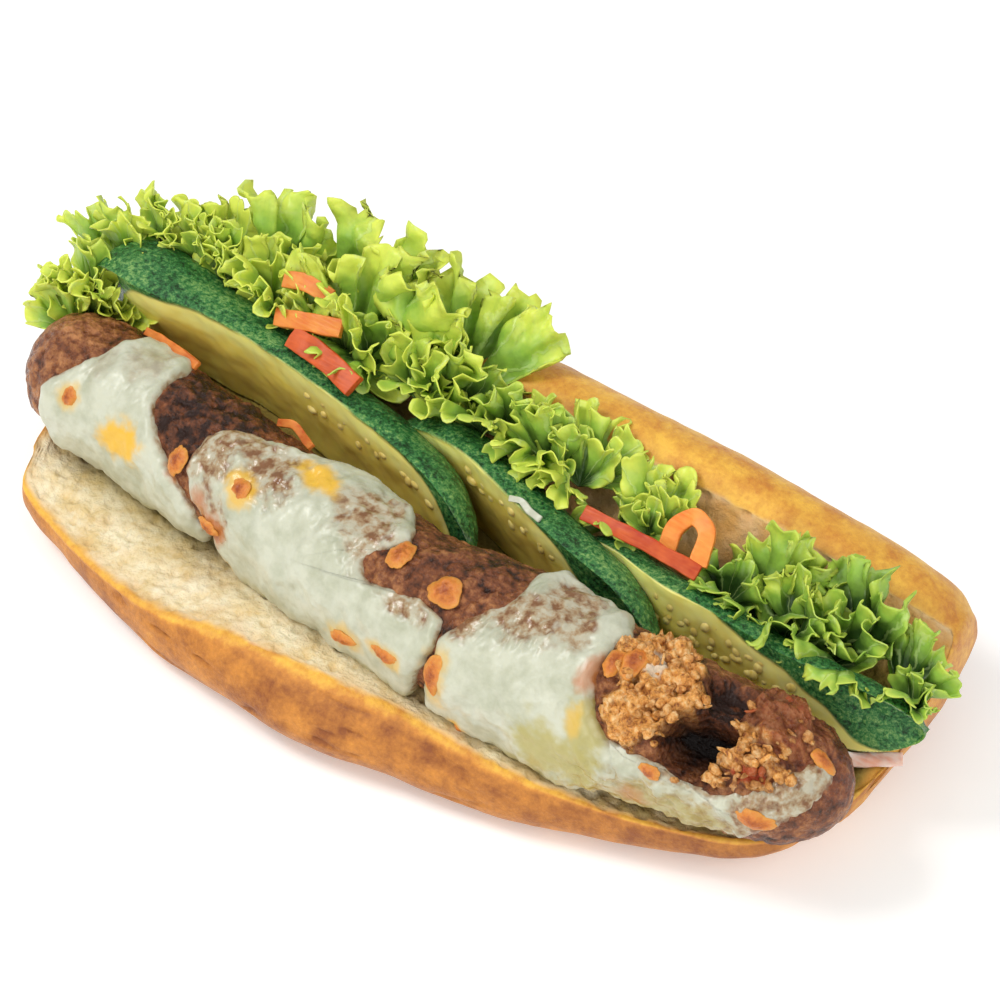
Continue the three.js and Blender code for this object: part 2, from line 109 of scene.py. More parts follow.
def turned(a: np.ndarray, b: np.ndarray, angle: float) -> tuple[np.ndarray, np.ndarray]:
    """Return two flat coordinates turned by an angle in radians."""
    return a * math.cos(angle) - b * math.sin(angle), a * math.sin(angle) + b * math.cos(angle)


def end_round(x: np.ndarray, left: float, right: float, length: float, smallest: float) -> np.ndarray:
    """Return a section's scale: 1 in the middle, falling as a quarter ellipse to both tips."""
    inside = np.minimum(x - left, right - x)
    t = np.clip(1 - inside / length, 0.0, 1.0)
    return smallest + (1 - smallest) * np.sqrt(1 - t * t)


def closed_curve(corners: np.ndarray, pull: float, count: int) -> np.ndarray:
    """Return points evenly spaced round a smooth closed curve through flat corners.

    Args:
        corners: The corners as rows of two numbers.
        pull: How strongly the curve swings at a corner, 0.5 being the usual amount.
        count: How many points to return.

    Returns:
        The points, as rows of two numbers.
    """
    fine = 24
    t = np.linspace(0, 1, fine, endpoint=False)[:, None]
    pieces = []
    for i in range(len(corners)):
        a, b, c, d = (corners[(i + k) % len(corners)] for k in (-1, 0, 1, 2))
        rise = t * t * (3 - 2 * t)
        bend = t * (1 - t) ** 2 * pull * (c - a) + t * t * (t - 1) * pull * (d - b)
        pieces.append(b * (1 - rise) + c * rise + bend)
    path = np.vstack(pieces + [corners[:1]])
    steps = np.concatenate([[0], np.cumsum(np.linalg.norm(np.diff(path, axis=0), axis=1))])
    wanted = np.linspace(0, steps[-1], count, endpoint=False)
    return np.stack([np.interp(wanted, steps, path[:, k]) for k in (0, 1)], axis=1)


def depth_inside(spots: np.ndarray, outline: np.ndarray) -> np.ndarray:
    """Measure how far flat points lie inside a closed outline.

    Args:
        spots: The points, as rows of two numbers.
        outline: The outline's corners in order.

    Returns:
        The distance to the outline, negative outside it.
    """
    start, end = outline, np.roll(outline, -1, axis=0)
    result = np.empty(len(spots))
    run = end - start
    length = (run * run).sum(1)
    for low in range(0, len(spots), 4000):
        part = spots[low:low + 4000]
        gap = part[:, None, :] - start[None]
        t = np.clip((gap * run[None]).sum(2) / length, 0, 1)
        near = np.sqrt(((gap - t[..., None] * run[None]) ** 2).sum(2)).min(1)
        over = (start[None, :, 1] > part[:, 1:2]) != (end[None, :, 1] > part[:, 1:2])
        rise = np.where(run[:, 1] == 0, 1e-9, run[:, 1])
        crossing = start[None, :, 0] + (part[:, 1:2] - start[None, :, 1]) * (run[:, 0] / rise)[None]
        inside = (over & (part[:, 0:1] < crossing)).sum(1) % 2 == 1
        result[low:low + 4000] = np.where(inside, near, -near)
    return result


class Unevenness:
    """Smooth random fields in space, the same on every run for one seed."""

    def __init__(self, seed: int) -> None:
        """Draw the tables that the fields are read from.

        Args:
            seed: The number that fixes the draw.
        """
        chance = np.random.default_rng(seed)
        self.order = chance.permutation(256)
        slopes = chance.normal(size=(256, 3))
        self.slopes = slopes / np.linalg.norm(slopes, axis=1, keepdims=True)
        self.seats = chance.random((256, 3))
        self.luck = chance.random(256)

    def _mark(self, cell: np.ndarray) -> np.ndarray:
        """Return the table place that belongs to each cell of space."""
        first = self.order[cell[:, 0] & 255]
        second = self.order[(first + cell[:, 1]) & 255]
        return self.order[(second + cell[:, 2]) & 255]

    def swell(self, points: np.ndarray, size: float, layers: int = 1) -> np.ndarray:
        """Read a soft uneven field.

        Args:
            points: Places, as rows of three numbers.
            size: The width of one bump, in the points' own unit.
            layers: How many finer layers are added, each half as wide and half as strong.

        Returns:
            The field's value at each place, from about -1 to 1.
        """
        total = np.zeros(len(points))
        strength, reach = 1.0, 0.0
        for layer in range(layers):
            p = points / size * 2.0 ** layer + 17.3 * layer
            cell = np.floor(p).astype(int)
            f = p - cell
            fade = f * f * f * (f * (f * 6 - 15) + 10)
            for corner in np.ndindex(2, 2, 2):
                step = np.array(corner)
                weight = np.prod(np.where(step == 1, fade, 1 - fade), axis=1)
                total += strength * weight * (self.slopes[self._mark(cell + step)] * (f - step)).sum(1)
            reach += strength
            strength *= 0.5
        return total * 1.7 / reach

    def cells(self, points: np.ndarray, size: float) -> tuple[np.ndarray, np.ndarray]:
        """Find the nearest of many scattered seats.

        Args:
            points: Places, as rows of three numbers.
            size: The usual space between two seats.

        Returns:
            The distance to the nearest seat in units of size, and that seat's luck from 0 to 1.
        """
        p = points / size
        cell = np.floor(p).astype(int)
        best = np.full(len(points), 9.0)
        luck = np.zeros(len(points))
        for step in np.ndindex(3, 3, 3):
            other = cell + np.array(step) - 1
            mark = self._mark(other)
            gap = np.linalg.norm(other + self.seats[mark] - p, axis=1)
            luck = np.where(gap < best, self.luck[mark], luck)
            best = np.minimum(gap, best)
        return best, luck


# Making and finishing meshes

def deselect() -> None:
    """Leave nothing selected."""
    bpy.ops.object.select_all(action="DESELECT")


def pick(piece: bpy.types.Object) -> None:
    """Select one piece alone and make it the active one."""
    deselect()
    piece.select_set(True)
    bpy.context.view_layer.objects.active = piece


def points_of(piece: bpy.types.Object) -> np.ndarray:
    """Return a piece's vertices in millimetres."""
    flat = np.empty(len(piece.data.vertices) * 3)
    piece.data.vertices.foreach_get("co", flat)
    return flat.reshape(-1, 3) / MM


def set_points(piece: bpy.types.Object, points: np.ndarray) -> None:
    """Move a piece's vertices to places given in millimetres."""
    piece.data.vertices.foreach_set("co", (points * MM).ravel())
    piece.data.update()


def normals_of(piece: bpy.types.Object) -> np.ndarray:
    """Return a piece's vertex normals."""
    flat = np.empty(len(piece.data.vertices) * 3)
    piece.data.vertex_normals.foreach_get("vector", flat)
    return flat.reshape(-1, 3)


def put_values(piece: bpy.types.Object, name: str, values: np.ndarray) -> None:
    """Store one number for each vertex under a name that a material can read."""
    layer = piece.data.attributes.get(name) or piece.data.attributes.new(name, "FLOAT", "POINT")
    layer.data.foreach_set("value", values.astype(np.float32))


def values_of(piece: bpy.types.Object, name: str) -> np.ndarray:
    """Return the numbers stored for each vertex under a name."""
    flat = np.empty(len(piece.data.vertices), dtype=np.float32)
    piece.data.attributes[name].data.foreach_get("value", flat)
    return flat.astype(float)


def drop_uv(piece: bpy.types.Object) -> None:
    """Take off the flat maps that a new shape comes with."""
    while piece.data.uv_layers:
        piece.data.uv_layers.remove(piece.data.uv_layers[0])


def add_grid(name: str, across: int, down: int, place: Place) -> bpy.types.Object:
    """Add a flat grid and bend it into a surface.

    Args:
        name: The piece's name.
        across: Faces in the first direction.
        down: Faces in the second direction.
        place: Turns the two directions, each from 0 to 1, into points in millimetres.

    Returns:
        The piece, with the two directions stored as the values "u" and "v".
    """
    deselect()
    bpy.ops.mesh.primitive_grid_add(x_subdivisions=across, y_subdivisions=down, size=1.0)
    piece = bpy.context.active_object
    piece.name = name
    piece.data.name = name
    drop_uv(piece)
    flat = points_of(piece) * MM
    u, v = flat[:, 0] + 0.5, flat[:, 1] + 0.5
    put_values(piece, "u", u)
    put_values(piece, "v", v)
    set_points(piece, place(u, v))
    return piece


def close_seams(piece: bpy.types.Object, gap: float = 0.002) -> None:
    """Merge the vertices that meet, and turn all faces outwards.

    Args:
        piece: The piece to close.
        gap: The widest gap that counts as meeting, in millimetres.
    """
    pick(piece)
    bpy.ops.object.mode_set(mode="EDIT")
    bpy.ops.mesh.select_all(action="SELECT")
    bpy.ops.mesh.remove_doubles(threshold=gap * MM)
    bpy.ops.mesh.normals_make_consistent(inside=False)
    bpy.ops.object.mode_set(mode="OBJECT")


def modify(piece: bpy.types.Object, kind: str, settings: dict) -> None:
    """Add one modifier with its settings and apply it."""
    pick(piece)
    made = piece.modifiers.new(kind.lower(), kind)
    for key, value in settings.items():
        setattr(made, key, value)
    bpy.ops.object.modifier_apply(modifier=made.name)


def raise_by(piece: bpy.types.Object, amount: np.ndarray) -> None:
    """Move every vertex along its normal by its own amount in millimetres."""
    set_points(piece, points_of(piece) + normals_of(piece) * amount[:, None])


def joined(name: str, parts: Sequence[bpy.types.Object]) -> bpy.types.Object:
    """Join several pieces into one under a new name."""
    deselect()
    for part in parts:
        part.select_set(True)
    bpy.context.view_layer.objects.active = parts[0]
    bpy.ops.object.join()
    whole = bpy.context.active_object
    whole.name = name
    whole.data.name = name
    return whole


def settle(piece: bpy.types.Object, finish: bpy.types.Material, nodes: Sequence[str] = ()) -> None:
    """Smooth a finished piece, dress it and tie it to the sandwich.

    Args:
        piece: The finished piece.
        finish: Its material.
        nodes: The plain solids that it stands for.
    """
    pick(piece)
    bpy.ops.object.shade_smooth()
    piece.data.materials.clear()
    piece.data.materials.append(finish)
    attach(piece, "root")
    if nodes:
        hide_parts(*nodes)
    log.info("%s: %d faces", piece.name, len(piece.data.polygons))


# Finishes

TINTED = {"data_type": "RGBA", "clamp_factor": True}
SHARE, UNDER, OVER = 0, 6, 7  # a tinted mix's sockets: how much, the colour below, the colour above
TINT = 2  # the output of a tinted mix
SCALED_SUM = {"operation": "MULTIPLY_ADD"}
PRODUCT = {"operation": "MULTIPLY"}


def colour(code: str) -> tuple[float, float, float, float]:
    """Turn an sRGB hex value into linear red, green, blue and alpha."""
    parts = [int(code[i:i + 2], 16) / 255 for i in (1, 3, 5)]
    linear = [c / 12.92 if c <= 0.04045 else ((c + 0.055) / 1.055) ** 2.4 for c in parts]
    return (linear[0], linear[1], linear[2], 1.0)


def per_metre(width: float) -> float:
    """Return the pattern scale whose bumps are this many millimetres wide."""
    return 1.0 / (width * MM)


class Recipe:
    """A material in the making: its nodes, its shader and one way to add a node."""

    def __init__(self, name: str) -> None:
        """Start a material with only its shader and output.

        Args:
            name: The material's name.
        """
        self.material = bpy.data.materials.new(name)
        self.material.use_nodes = True
        self.tree = self.material.node_tree
        self.shader = self.tree.nodes["Principled BSDF"]
        self.place = self.add("ShaderNodeTexCoord").outputs["Object"]

    def add(self, kind: str, settings: dict | None = None, inputs: dict | None = None,
            stops: Sequence[tuple[float, str]] = ()) -> bpy.types.Node:
        """Add one node.

        Args:
            kind: The node's type.
            settings: Its own settings by name.
            inputs: Its sockets by name or number, each a number, a colour or another node's output.
            stops: The places and hex colours of a colour ramp.

        Returns:
            The new node.
        """
        made = self.tree.nodes.new(kind)
        for key, value in (settings or {}).items():
            setattr(made, key, value)
        for key, value in (inputs or {}).items():
            if isinstance(value, bpy.types.NodeSocket):
                self.tree.links.new(value, made.inputs[key])
            else:
                made.inputs[key].default_value = value
        for i, (spot, code) in enumerate(stops):
            ramp = made.color_ramp.elements
            element = ramp[i] if i < 2 else ramp.new(spot)
            element.position = spot
            element.color = colour(code)
        return made

    def value(self, name: str) -> bpy.types.NodeSocket:
        """Return a piece's own stored value."""
        return self.add("ShaderNodeAttribute", {"attribute_name": name}).outputs["Fac"]

    def finish(self, base: bpy.types.NodeSocket, sockets: dict,
               bumps: Sequence[tuple[bpy.types.NodeSocket, float]] = ()) -> bpy.types.Material:
        """Wire up the shader.

        Args:
            base: The colour.
            sockets: Other shader sockets, each a number, a colour or an output.
            bumps: Height patterns and the height of each in millimetres.

        Returns:
            The finished material.
        """
        self.tree.links.new(base, self.shader.inputs["Base Color"])
        for key, value in sockets.items():
            if isinstance(value, bpy.types.NodeSocket):
                self.tree.links.new(value, self.shader.inputs[key])
            else:
                self.shader.inputs[key].default_value = value
        normal = None
        for height, deep in bumps:
            inputs = {"Strength": 1.0, "Distance": deep * MM, "Height": height}
            if normal is not None:
                inputs["Normal"] = normal
            normal = self.add("ShaderNodeBump", None, inputs).outputs["Normal"]
        if normal is not None:
            self.tree.links.new(normal, self.shader.inputs["Normal"])
        return self.material


@dataclass(frozen=True)
class BreadFinish:
    """Baked wheat bread: a golden egg-brown crust, matt cream crumb where it was cut.

    The crust has the slight sheen of a baked skin and is darkest on its bulges; its creases are darkened as
    painted shade;
    the crumb is matt, open and lets a little light in.
    """

    crust_pale: str = "#f1bb47"
    crust_gold: str = "#cc8430"
    crust_brown: str = "#8a4a18"
    crumb_light: str = "#f5e8c6"
    crumb_shade: str = "#e2c892"
    crumb_toast: str = "#cf9341"
    # oil-soaked crumb, also used as painted shade deep in the split and next to the meat
    crumb_oil: str = "#8d7a30"
    mottle: float = 9.0  # blotches of browning on the crust, mm
    freckle: float = 1.6  # fine freckles of browning, mm
    grain: float = 1.1  # pores of the crumb, mm
    skin: float = 0.8  # fine wrinkling of the crust, mm
    holes: float = 2.4  # open holes of the crumb, mm
    cloud: float = 8.0  # slow changes of the crumb's tone, mm

    def build(self) -> bpy.types.Material:
        """Return the material, which reads the values crumb, brown, toast and oil."""
        make = Recipe("baked_bread")
        mottle = make.add("ShaderNodeTexNoise", None, {
            "Vector": make.place, "Scale": per_metre(self.mottle), "Detail": 6.0, "Roughness": 0.62})
        freckles = make.add("ShaderNodeTexNoise", None, {
            "Vector": make.place, "Scale": per_metre(self.freckle), "Detail": 4.0, "Roughness": 0.7})
        brown = make.add("ShaderNodeMath", SCALED_SUM, {
            0: mottle.outputs["Fac"], 1: 0.7, 2: make.value("brown")})
        freckled = make.add("ShaderNodeMath", SCALED_SUM, {
            0: freckles.outputs["Fac"], 1: 0.34, 2: brown.outputs[0]})
        crust = make.add("ShaderNodeValToRGB", None, {"Fac": freckled.outputs[0]}, (
            (0.4, self.crust_pale), (0.92, self.crust_brown), (0.64, self.crust_gold)))
        pores = make.add("ShaderNodeTexNoise", None, {
            "Vector": make.place, "Scale": per_metre(self.grain), "Detail": 3.0, "Roughness": 0.65})
        open_pores = make.add("ShaderNodeTexVoronoi", {"feature": "SMOOTH_F1"}, {
            "Vector": make.place, "Scale": per_metre(self.holes), "Smoothness": 0.6, "Randomness": 1.0})
        patches = make.add("ShaderNodeTexNoise", None, {
            "Vector": make.place, "Scale": per_metre(self.cloud), "Detail": 5.0, "Roughness": 0.65})
        crumb = make.add("ShaderNodeValToRGB", None, {"Fac": patches.outputs["Fac"]}, (
            (0.36, self.crumb_shade), (0.6, self.crumb_light)))
        toasted = make.add("ShaderNodeMix", TINTED, {
            SHARE: make.value("toast"), UNDER: crumb.outputs["Color"], OVER: colour(self.crumb_toast)})
        oily = make.add("ShaderNodeMix", TINTED, {
            SHARE: make.value("oil"), UNDER: toasted.outputs[TINT], OVER: colour(self.crumb_oil)})
        tint = make.add("ShaderNodeMix", TINTED, {
            SHARE: make.value("crumb"), UNDER: crust.outputs["Color"], OVER: oily.outputs[TINT]})
        fine = make.add("ShaderNodeTexNoise", None, {
            "Vector": make.place, "Scale": per_metre(self.skin), "Detail": 4.0, "Roughness": 0.7})
        gloss = make.add("ShaderNodeMapRange", None, {
            "Value": make.value("crumb"), "To Min": 0.44, "To Max": 0.92})
        pits = make.add("ShaderNodeMath", PRODUCT, {
            0: open_pores.outputs["Distance"], 1: make.value("crumb")})
        grit = make.add("ShaderNodeMath", PRODUCT, {
            0: pores.outputs["Fac"], 1: make.value("crumb")})
        return make.finish(tint.outputs[TINT], {
            "Roughness": gloss.outputs[0], "IOR": 1.45, "Subsurface Weight": 0.08,
            "Subsurface Radius": (1.0, 0.6, 0.35), "Subsurface Scale": 1.2 * MM,
        }, ((fine.outputs["Fac"], 0.26), (mottle.outputs["Fac"], 0.5),
            (pits.outputs[0], 0.5), (grit.outputs[0], 0.45)))


@dataclass(frozen=True)
class MeatFinish:
    """Grilled minced meat: coarse brown grains, darker where it charred, wet with fat.

    The eye sees a dull reddish brown with near-black pits, their darkness painted shade, and small sharp
    glints of fat.
    """

    # darkest tone: charred meat, and also painted shade in the pits between grains and in the groove
    dark: str = "#2c150a"
    brown: str = "#7b4526"
    light: str = "#bd804e"
    frayed: str = "#e8a24e"
    frayed_dark: str = "#86441d"
    frayed_light: str = "#fbd89e"
    red: str = "#a83a18"
    fat: str = "#ecdcc2"
    # painted shade: the near-black laid into the deep hole of the tear
    inside: str = "#120905"
    mince: float = 1.9  # grains of mince, mm
    patch: float = 14.0  # darker and lighter stretches, mm
    bead: float = 1.7  # beads of fat that stand out, mm
    film: float = 3.5  # patches where the fat lies wet, mm

    def build(self) -> bpy.types.Material:
        """Return the material, which reads the values dark, fray, rusty, fat and hollow."""
        make = Recipe("grilled_mince")
        grains = make.add("ShaderNodeTexNoise", None, {
            "Vector": make.place, "Scale": per_metre(self.mince), "Detail": 6.0, "Roughness": 0.7})
        patches = make.add("ShaderNodeTexNoise", None, {
            "Vector": make.place, "Scale": per_metre(self.patch), "Detail": 3.0})
        mixed = make.add("ShaderNodeMath", SCALED_SUM, {
            0: patches.outputs["Fac"], 1: 0.45, 2: grains.outputs["Fac"]})
        tone = make.add("ShaderNodeMath", {"operation": "SUBTRACT"}, {
            0: mixed.outputs[0], 1: make.value("dark")})
        plain = make.add("ShaderNodeValToRGB", None, {"Fac": tone.outputs[0]}, (
            (0.42, self.dark), (0.96, self.light), (0.68, self.brown)))
        strands = make.add("ShaderNodeValToRGB", None, {"Fac": grains.outputs["Fac"]}, (
            (0.34, self.frayed_dark), (0.68, self.frayed_light), (0.5, self.frayed)))
        frayed = make.add("ShaderNodeMix", TINTED, {
            SHARE: make.value("fray"), UNDER: plain.outputs["Color"], OVER: strands.outputs["Color"]})
        rusty = make.add("ShaderNodeMix", TINTED, {
            SHARE: make.value("rusty"), UNDER: frayed.outputs[TINT], OVER: colour(self.red)})
        fatty = make.add("ShaderNodeMix", TINTED, {
            SHARE: make.value("fat"), UNDER: rusty.outputs[TINT], OVER: colour(self.fat)})
        # painted shade: the deep hole of the tear is painted near-black
        hollow = make.add("ShaderNodeMix", TINTED, {
            SHARE: make.value("hollow"), UNDER: fatty.outputs[TINT], OVER: colour(self.inside)})
        fine = make.add("ShaderNodeTexVoronoi", {"feature": "F1"}, {
            "Vector": make.place, "Scale": per_metre(self.bead)})
        wet = make.add("ShaderNodeTexNoise", None, {
            "Vector": make.place, "Scale": per_metre(self.film), "Detail": 3.0})
        gloss = make.add("ShaderNodeMapRange", None, {
            "Value": wet.outputs["Fac"], "From Min": 0.4, "From Max": 0.62, "To Min": 0.2, "To Max": 0.52})
        return make.finish(hollow.outputs[TINT], {
            "Roughness": gloss.outputs[0], "IOR": 1.42, "Subsurface Weight": 0.05,
            "Subsurface Radius": (1.0, 0.35, 0.2), "Subsurface Scale": 1.0 * MM,
        }, ((fine.outputs["Distance"], 0.6), (grains.outputs["Fac"], 0.9)))


@dataclass(frozen=True)
class CheeseFinish:
    """Melted white cheese: a soft pale skin with a faint green-grey cast and a wet sheen.

    Light goes some way in. Where it ran thin the meat shows through as grey-brown flecks, and the
    grill left yellow and toasted stains.
    """

    white: str = "#c6c7b2"
    shade: str = "#adaf96"
    film: str = "#b8b098"
    thin: str = "#a38a68"
    fleck: str = "#7c5434"
    gold: str = "#e0b23c"
    oil: str = "#a99c48"
    toast: str = "#b5662a"
    cloud: float = 8.0  # slow changes of tone, mm
    specks: float = 3.6  # flecks of meat under thin cheese, mm
    ripple: float = 3.2  # ripples of the melted skin, mm

    def build(self) -> bpy.types.Material:
        """Return the material, which reads the values thin, oil, gold and toast."""
        make = Recipe("melted_cheese")
        clouds = make.add("ShaderNodeTexNoise", None, {
            "Vector": make.place, "Scale": per_metre(self.cloud), "Detail": 5.0, "Roughness": 0.6})
        plain = make.add("ShaderNodeValToRGB", None, {"Fac": clouds.outputs["Fac"]}, (
            (0.34, self.shade), (0.6, self.white)))
        specks = make.add("ShaderNodeTexNoise", None, {
            "Vector": make.place, "Scale": per_metre(self.specks), "Detail": 3.5, "Roughness": 0.6})
        flecks = make.add("ShaderNodeValToRGB", None, {"Fac": specks.outputs["Fac"]}, (
            (0.38, self.fleck), (0.6, self.film), (0.49, self.thin)))
        worn = make.add("ShaderNodeMath", SCALED_SUM, {
            0: clouds.outputs["Fac"], 1: 1.3, 2: -0.34})
        amount = make.add("ShaderNodeMath", {"operation": "ADD"}, {
            0: make.value("thin"), 1: worn.outputs[0]})
        amount = make.add("ShaderNodeMath", {"operation": "MULTIPLY", "use_clamp": True}, {
            0: amount.outputs[0], 1: make.value("thin")})
        thin = make.add("ShaderNodeMix", TINTED, {
            SHARE: amount.outputs[0], UNDER: plain.outputs["Color"], OVER: flecks.outputs["Color"]})
        oily = make.add("ShaderNodeMix", TINTED, {
            SHARE: make.value("oil"), UNDER: thin.outputs[TINT], OVER: colour(self.oil)})
        golden = make.add("ShaderNodeMix", TINTED, {
            SHARE: make.value("gold"), UNDER: oily.outputs[TINT], OVER: colour(self.gold)})
        toasted = make.add("ShaderNodeMix", TINTED, {
            SHARE: make.value("toast"), UNDER: golden.outputs[TINT], OVER: colour(self.toast)})
        ripple = make.add("ShaderNodeTexNoise", None, {
            "Vector": make.place, "Scale": per_metre(self.ripple), "Detail": 3.0})
        gloss = make.add("ShaderNodeMapRange", None, {
            "Value": make.value("thin"), "To Min": 0.36, "To Max": 0.2})
        return make.finish(toasted.outputs[TINT], {
            "Roughness": gloss.outputs[0], "IOR": 1.45, "Subsurface Weight": 0.2,
            "Subsurface Radius": (1.0, 0.85, 0.6), "Subsurface Scale": 1.6 * MM,
            "Coat Weight": 0.12, "Coat Roughness": 0.25,
        }, ((ripple.outputs["Fac"], 0.16), (specks.outputs["Fac"], 0.25)))


@dataclass(frozen=True)
class SpotFinish:
    """A toasted blister of cheese: deep orange-brown in the middle, golden at its edge, oily."""

    middle: str = "#8f3d0d"
    ring: str = "#cb772c"
    edge: str = "#d8963f"
    grain: float = 1.6  # crisped skin, mm

    def build(self) -> bpy.types.Material:
        """Return the material, which reads the value rim."""
        make = Recipe("toasted_cheese")
        grain = make.add("ShaderNodeTexNoise", None, {
            "Vector": make.place, "Scale": per_metre(self.grain), "Detail": 4.0, "Roughness": 0.65})
        tone = make.add("ShaderNodeMath", SCALED_SUM, {
            0: grain.outputs["Fac"], 1: 0.7, 2: make.value("rim")})
        tint = make.add("ShaderNodeValToRGB", None, {"Fac": tone.outputs[0]}, (
            (0.3, self.middle), (0.92, self.edge), (0.58, self.ring)))
        return make.finish(tint.outputs["Color"], {
            "Roughness": 0.34, "IOR": 1.45, "Subsurface Weight": 0.06,
            "Subsurface Radius": (1.0, 0.5, 0.2), "Subsurface Scale": 0.8 * MM,
        }, ((grain.outputs["Fac"], 0.5),))


@dataclass(frozen=True)
class PickleFinish:
    """Pickled cucumber: wet dark-green warty skin round glassy yellow-green flesh.

    The flesh is palest in a band under the skin and browner and clearer among the seeds; the browner tone
    also covers the whole lower part of the cut face as painted shade.
    """

    skin_dark: str = "#17381c"
    skin_green: str = "#3a7d41"
    skin_light: str = "#93b86a"
    band: str = "#fdf290"
    flesh: str = "#fbe068"
    # browner flesh of the seed core, also laid over the lower cut face as painted shade
    core: str = "#dab554"
    warts: float = 1.3  # pimples of the skin, mm
    streak: float = 6.0  # streaks along the skin, mm across
    cloud: float = 6.0  # clouds in the flesh, mm

    def build(self) -> bpy.types.Material:
        """Return the material, which reads the values skin and core."""
        make = Recipe("pickled_cucumber")
        warts = make.add("ShaderNodeTexNoise", None, {
            "Vector": make.place, "Scale": per_metre(self.warts), "Detail": 4.0, "Roughness": 0.75})
        stretch = make.add("ShaderNodeMapping", None, {"Vector": make.place, "Scale": (0.3, 1.0, 1.0)})
        streaks = make.add("ShaderNodeTexNoise", None, {
            "Vector": stretch.outputs[0], "Scale": per_metre(self.streak), "Detail": 3.0})
        both = make.add("ShaderNodeMath", SCALED_SUM, {
            0: streaks.outputs["Fac"], 1: 0.4, 2: warts.outputs["Fac"]})
        skin = make.add("ShaderNodeValToRGB", None, {"Fac": both.outputs[0]}, (
            (0.56, self.skin_dark), (0.92, self.skin_light), (0.72, self.skin_green)))
        clouds = make.add("ShaderNodeTexNoise", None, {
            "Vector": make.place, "Scale": per_metre(self.cloud), "Detail": 2.0, "Roughness": 0.5})
        inner = make.add("ShaderNodeMath", SCALED_SUM, {
            0: clouds.outputs["Fac"], 1: 0.4, 2: make.value("core")})
        flesh = make.add("ShaderNodeValToRGB", None, {"Fac": inner.outputs[0]}, (
            (0.2, self.band), (0.8, self.core), (0.44, self.flesh)))
        tint = make.add("ShaderNodeMix", TINTED, {
            SHARE: make.value("skin"), UNDER: flesh.outputs["Color"], OVER: skin.outputs["Color"]})
        lumps = make.add("ShaderNodeMath", PRODUCT, {
            0: warts.outputs["Fac"], 1: make.value("skin")})
        return make.finish(tint.outputs[TINT], {
            "Roughness": 0.24, "IOR": 1.38, "Subsurface Weight": 0.6,
            "Subsurface Radius": (1.0, 0.9, 0.35), "Subsurface Scale": 4.0 * MM,
        }, ((lumps.outputs[0], 0.7), (clouds.outputs["Fac"], 0.2)))


@dataclass(frozen=True)
class SeedFinish:
    """Soft cucumber seeds: pale, wet and a little clear."""

    shade: str = "#d6b95a"
    light: str = "#f6e28c"
    cloud: float = 2.0  # clouds in the seed, mm

    def build(self) -> bpy.types.Material:
        """Return the material."""
        make = Recipe("cucumber_seed")
        clouds = make.add("ShaderNodeTexNoise", None, {
            "Vector": make.place, "Scale": per_metre(self.cloud), "Detail": 2.0})
        tint = make.add("ShaderNodeValToRGB", None, {"Fac": clouds.outputs["Fac"]}, (
            (0.3, self.shade), (0.7, self.light)))
        return make.finish(tint.outputs["Color"], {
            "Roughness": 0.28, "IOR": 1.38, "Subsurface Weight": 0.2,
            "Subsurface Radius": (0.8, 0.9, 0.4), "Subsurface Scale": 1.0 * MM,
        }, ((clouds.outputs["Fac"], 0.2),))


@dataclass(frozen=True)
class LeafFinish:
    """Green frilly lettuce: thin waxy leaf, yellow-green at the frill and a darker green inside, where the
    darkening towards each leaf's foot is painted shade.

    Light comes through it, pale veins fan out to the edge, and blisters catch soft glints.
    """

    edge: str = "#d6e25a"
    blade: str = "#90b646"
    # dark green at each leaf's foot and in the gaps between leaves, painted shade
    deep: str = "#34521f"
    vein: str = "#c3d98a"
    blister: float = 4.0  # puckered skin between veins, mm
    cloud: float = 9.0  # slow changes of green, mm

    def build(self) -> bpy.types.Material:
        """Return the material, which reads the values edge and span."""
        make = Recipe("frilly_lettuce")
        clouds = make.add("ShaderNodeTexNoise", None, {
            "Vector": make.place, "Scale": per_metre(self.cloud), "Detail": 4.0, "Roughness": 0.6})
        tone = make.add("ShaderNodeMath", SCALED_SUM, {
            0: clouds.outputs["Fac"], 1: 0.5, 2: make.value("edge")})
        tint = make.add("ShaderNodeValToRGB", None, {"Fac": tone.outputs[0]}, (
            (0.3, self.deep), (0.74, self.edge), (0.5, self.blade)))
        fan = make.add("ShaderNodeMath", {"operation": "SINE"}, {
            0: make.add("ShaderNodeMath", SCALED_SUM, {
                0: clouds.outputs["Fac"], 1: 7.0, 2: make.value("span")}).outputs[0]})
        lines = make.add("ShaderNodeMapRange", None, {
            "Value": fan.outputs[0], "From Min": 0.9, "From Max": 1.0, "To Min": 0.0, "To Max": 0.4})
        veined = make.add("ShaderNodeMix", TINTED, {
            SHARE: lines.outputs[0], UNDER: tint.outputs["Color"], OVER: colour(self.vein)})
        pucker = make.add("ShaderNodeTexVoronoi", {"feature": "SMOOTH_F1"}, {
            "Vector": make.place, "Scale": per_metre(self.blister), "Smoothness": 0.8})
        return make.finish(veined.outputs[TINT], {
            "Roughness": 0.38, "IOR": 1.42, "Subsurface Weight": 0.2,
            "Subsurface Radius": (0.7, 1.0, 0.2), "Subsurface Scale": 1.2 * MM,
        }, ((pucker.outputs["Distance"], 0.7), (lines.outputs[0], 0.3)))


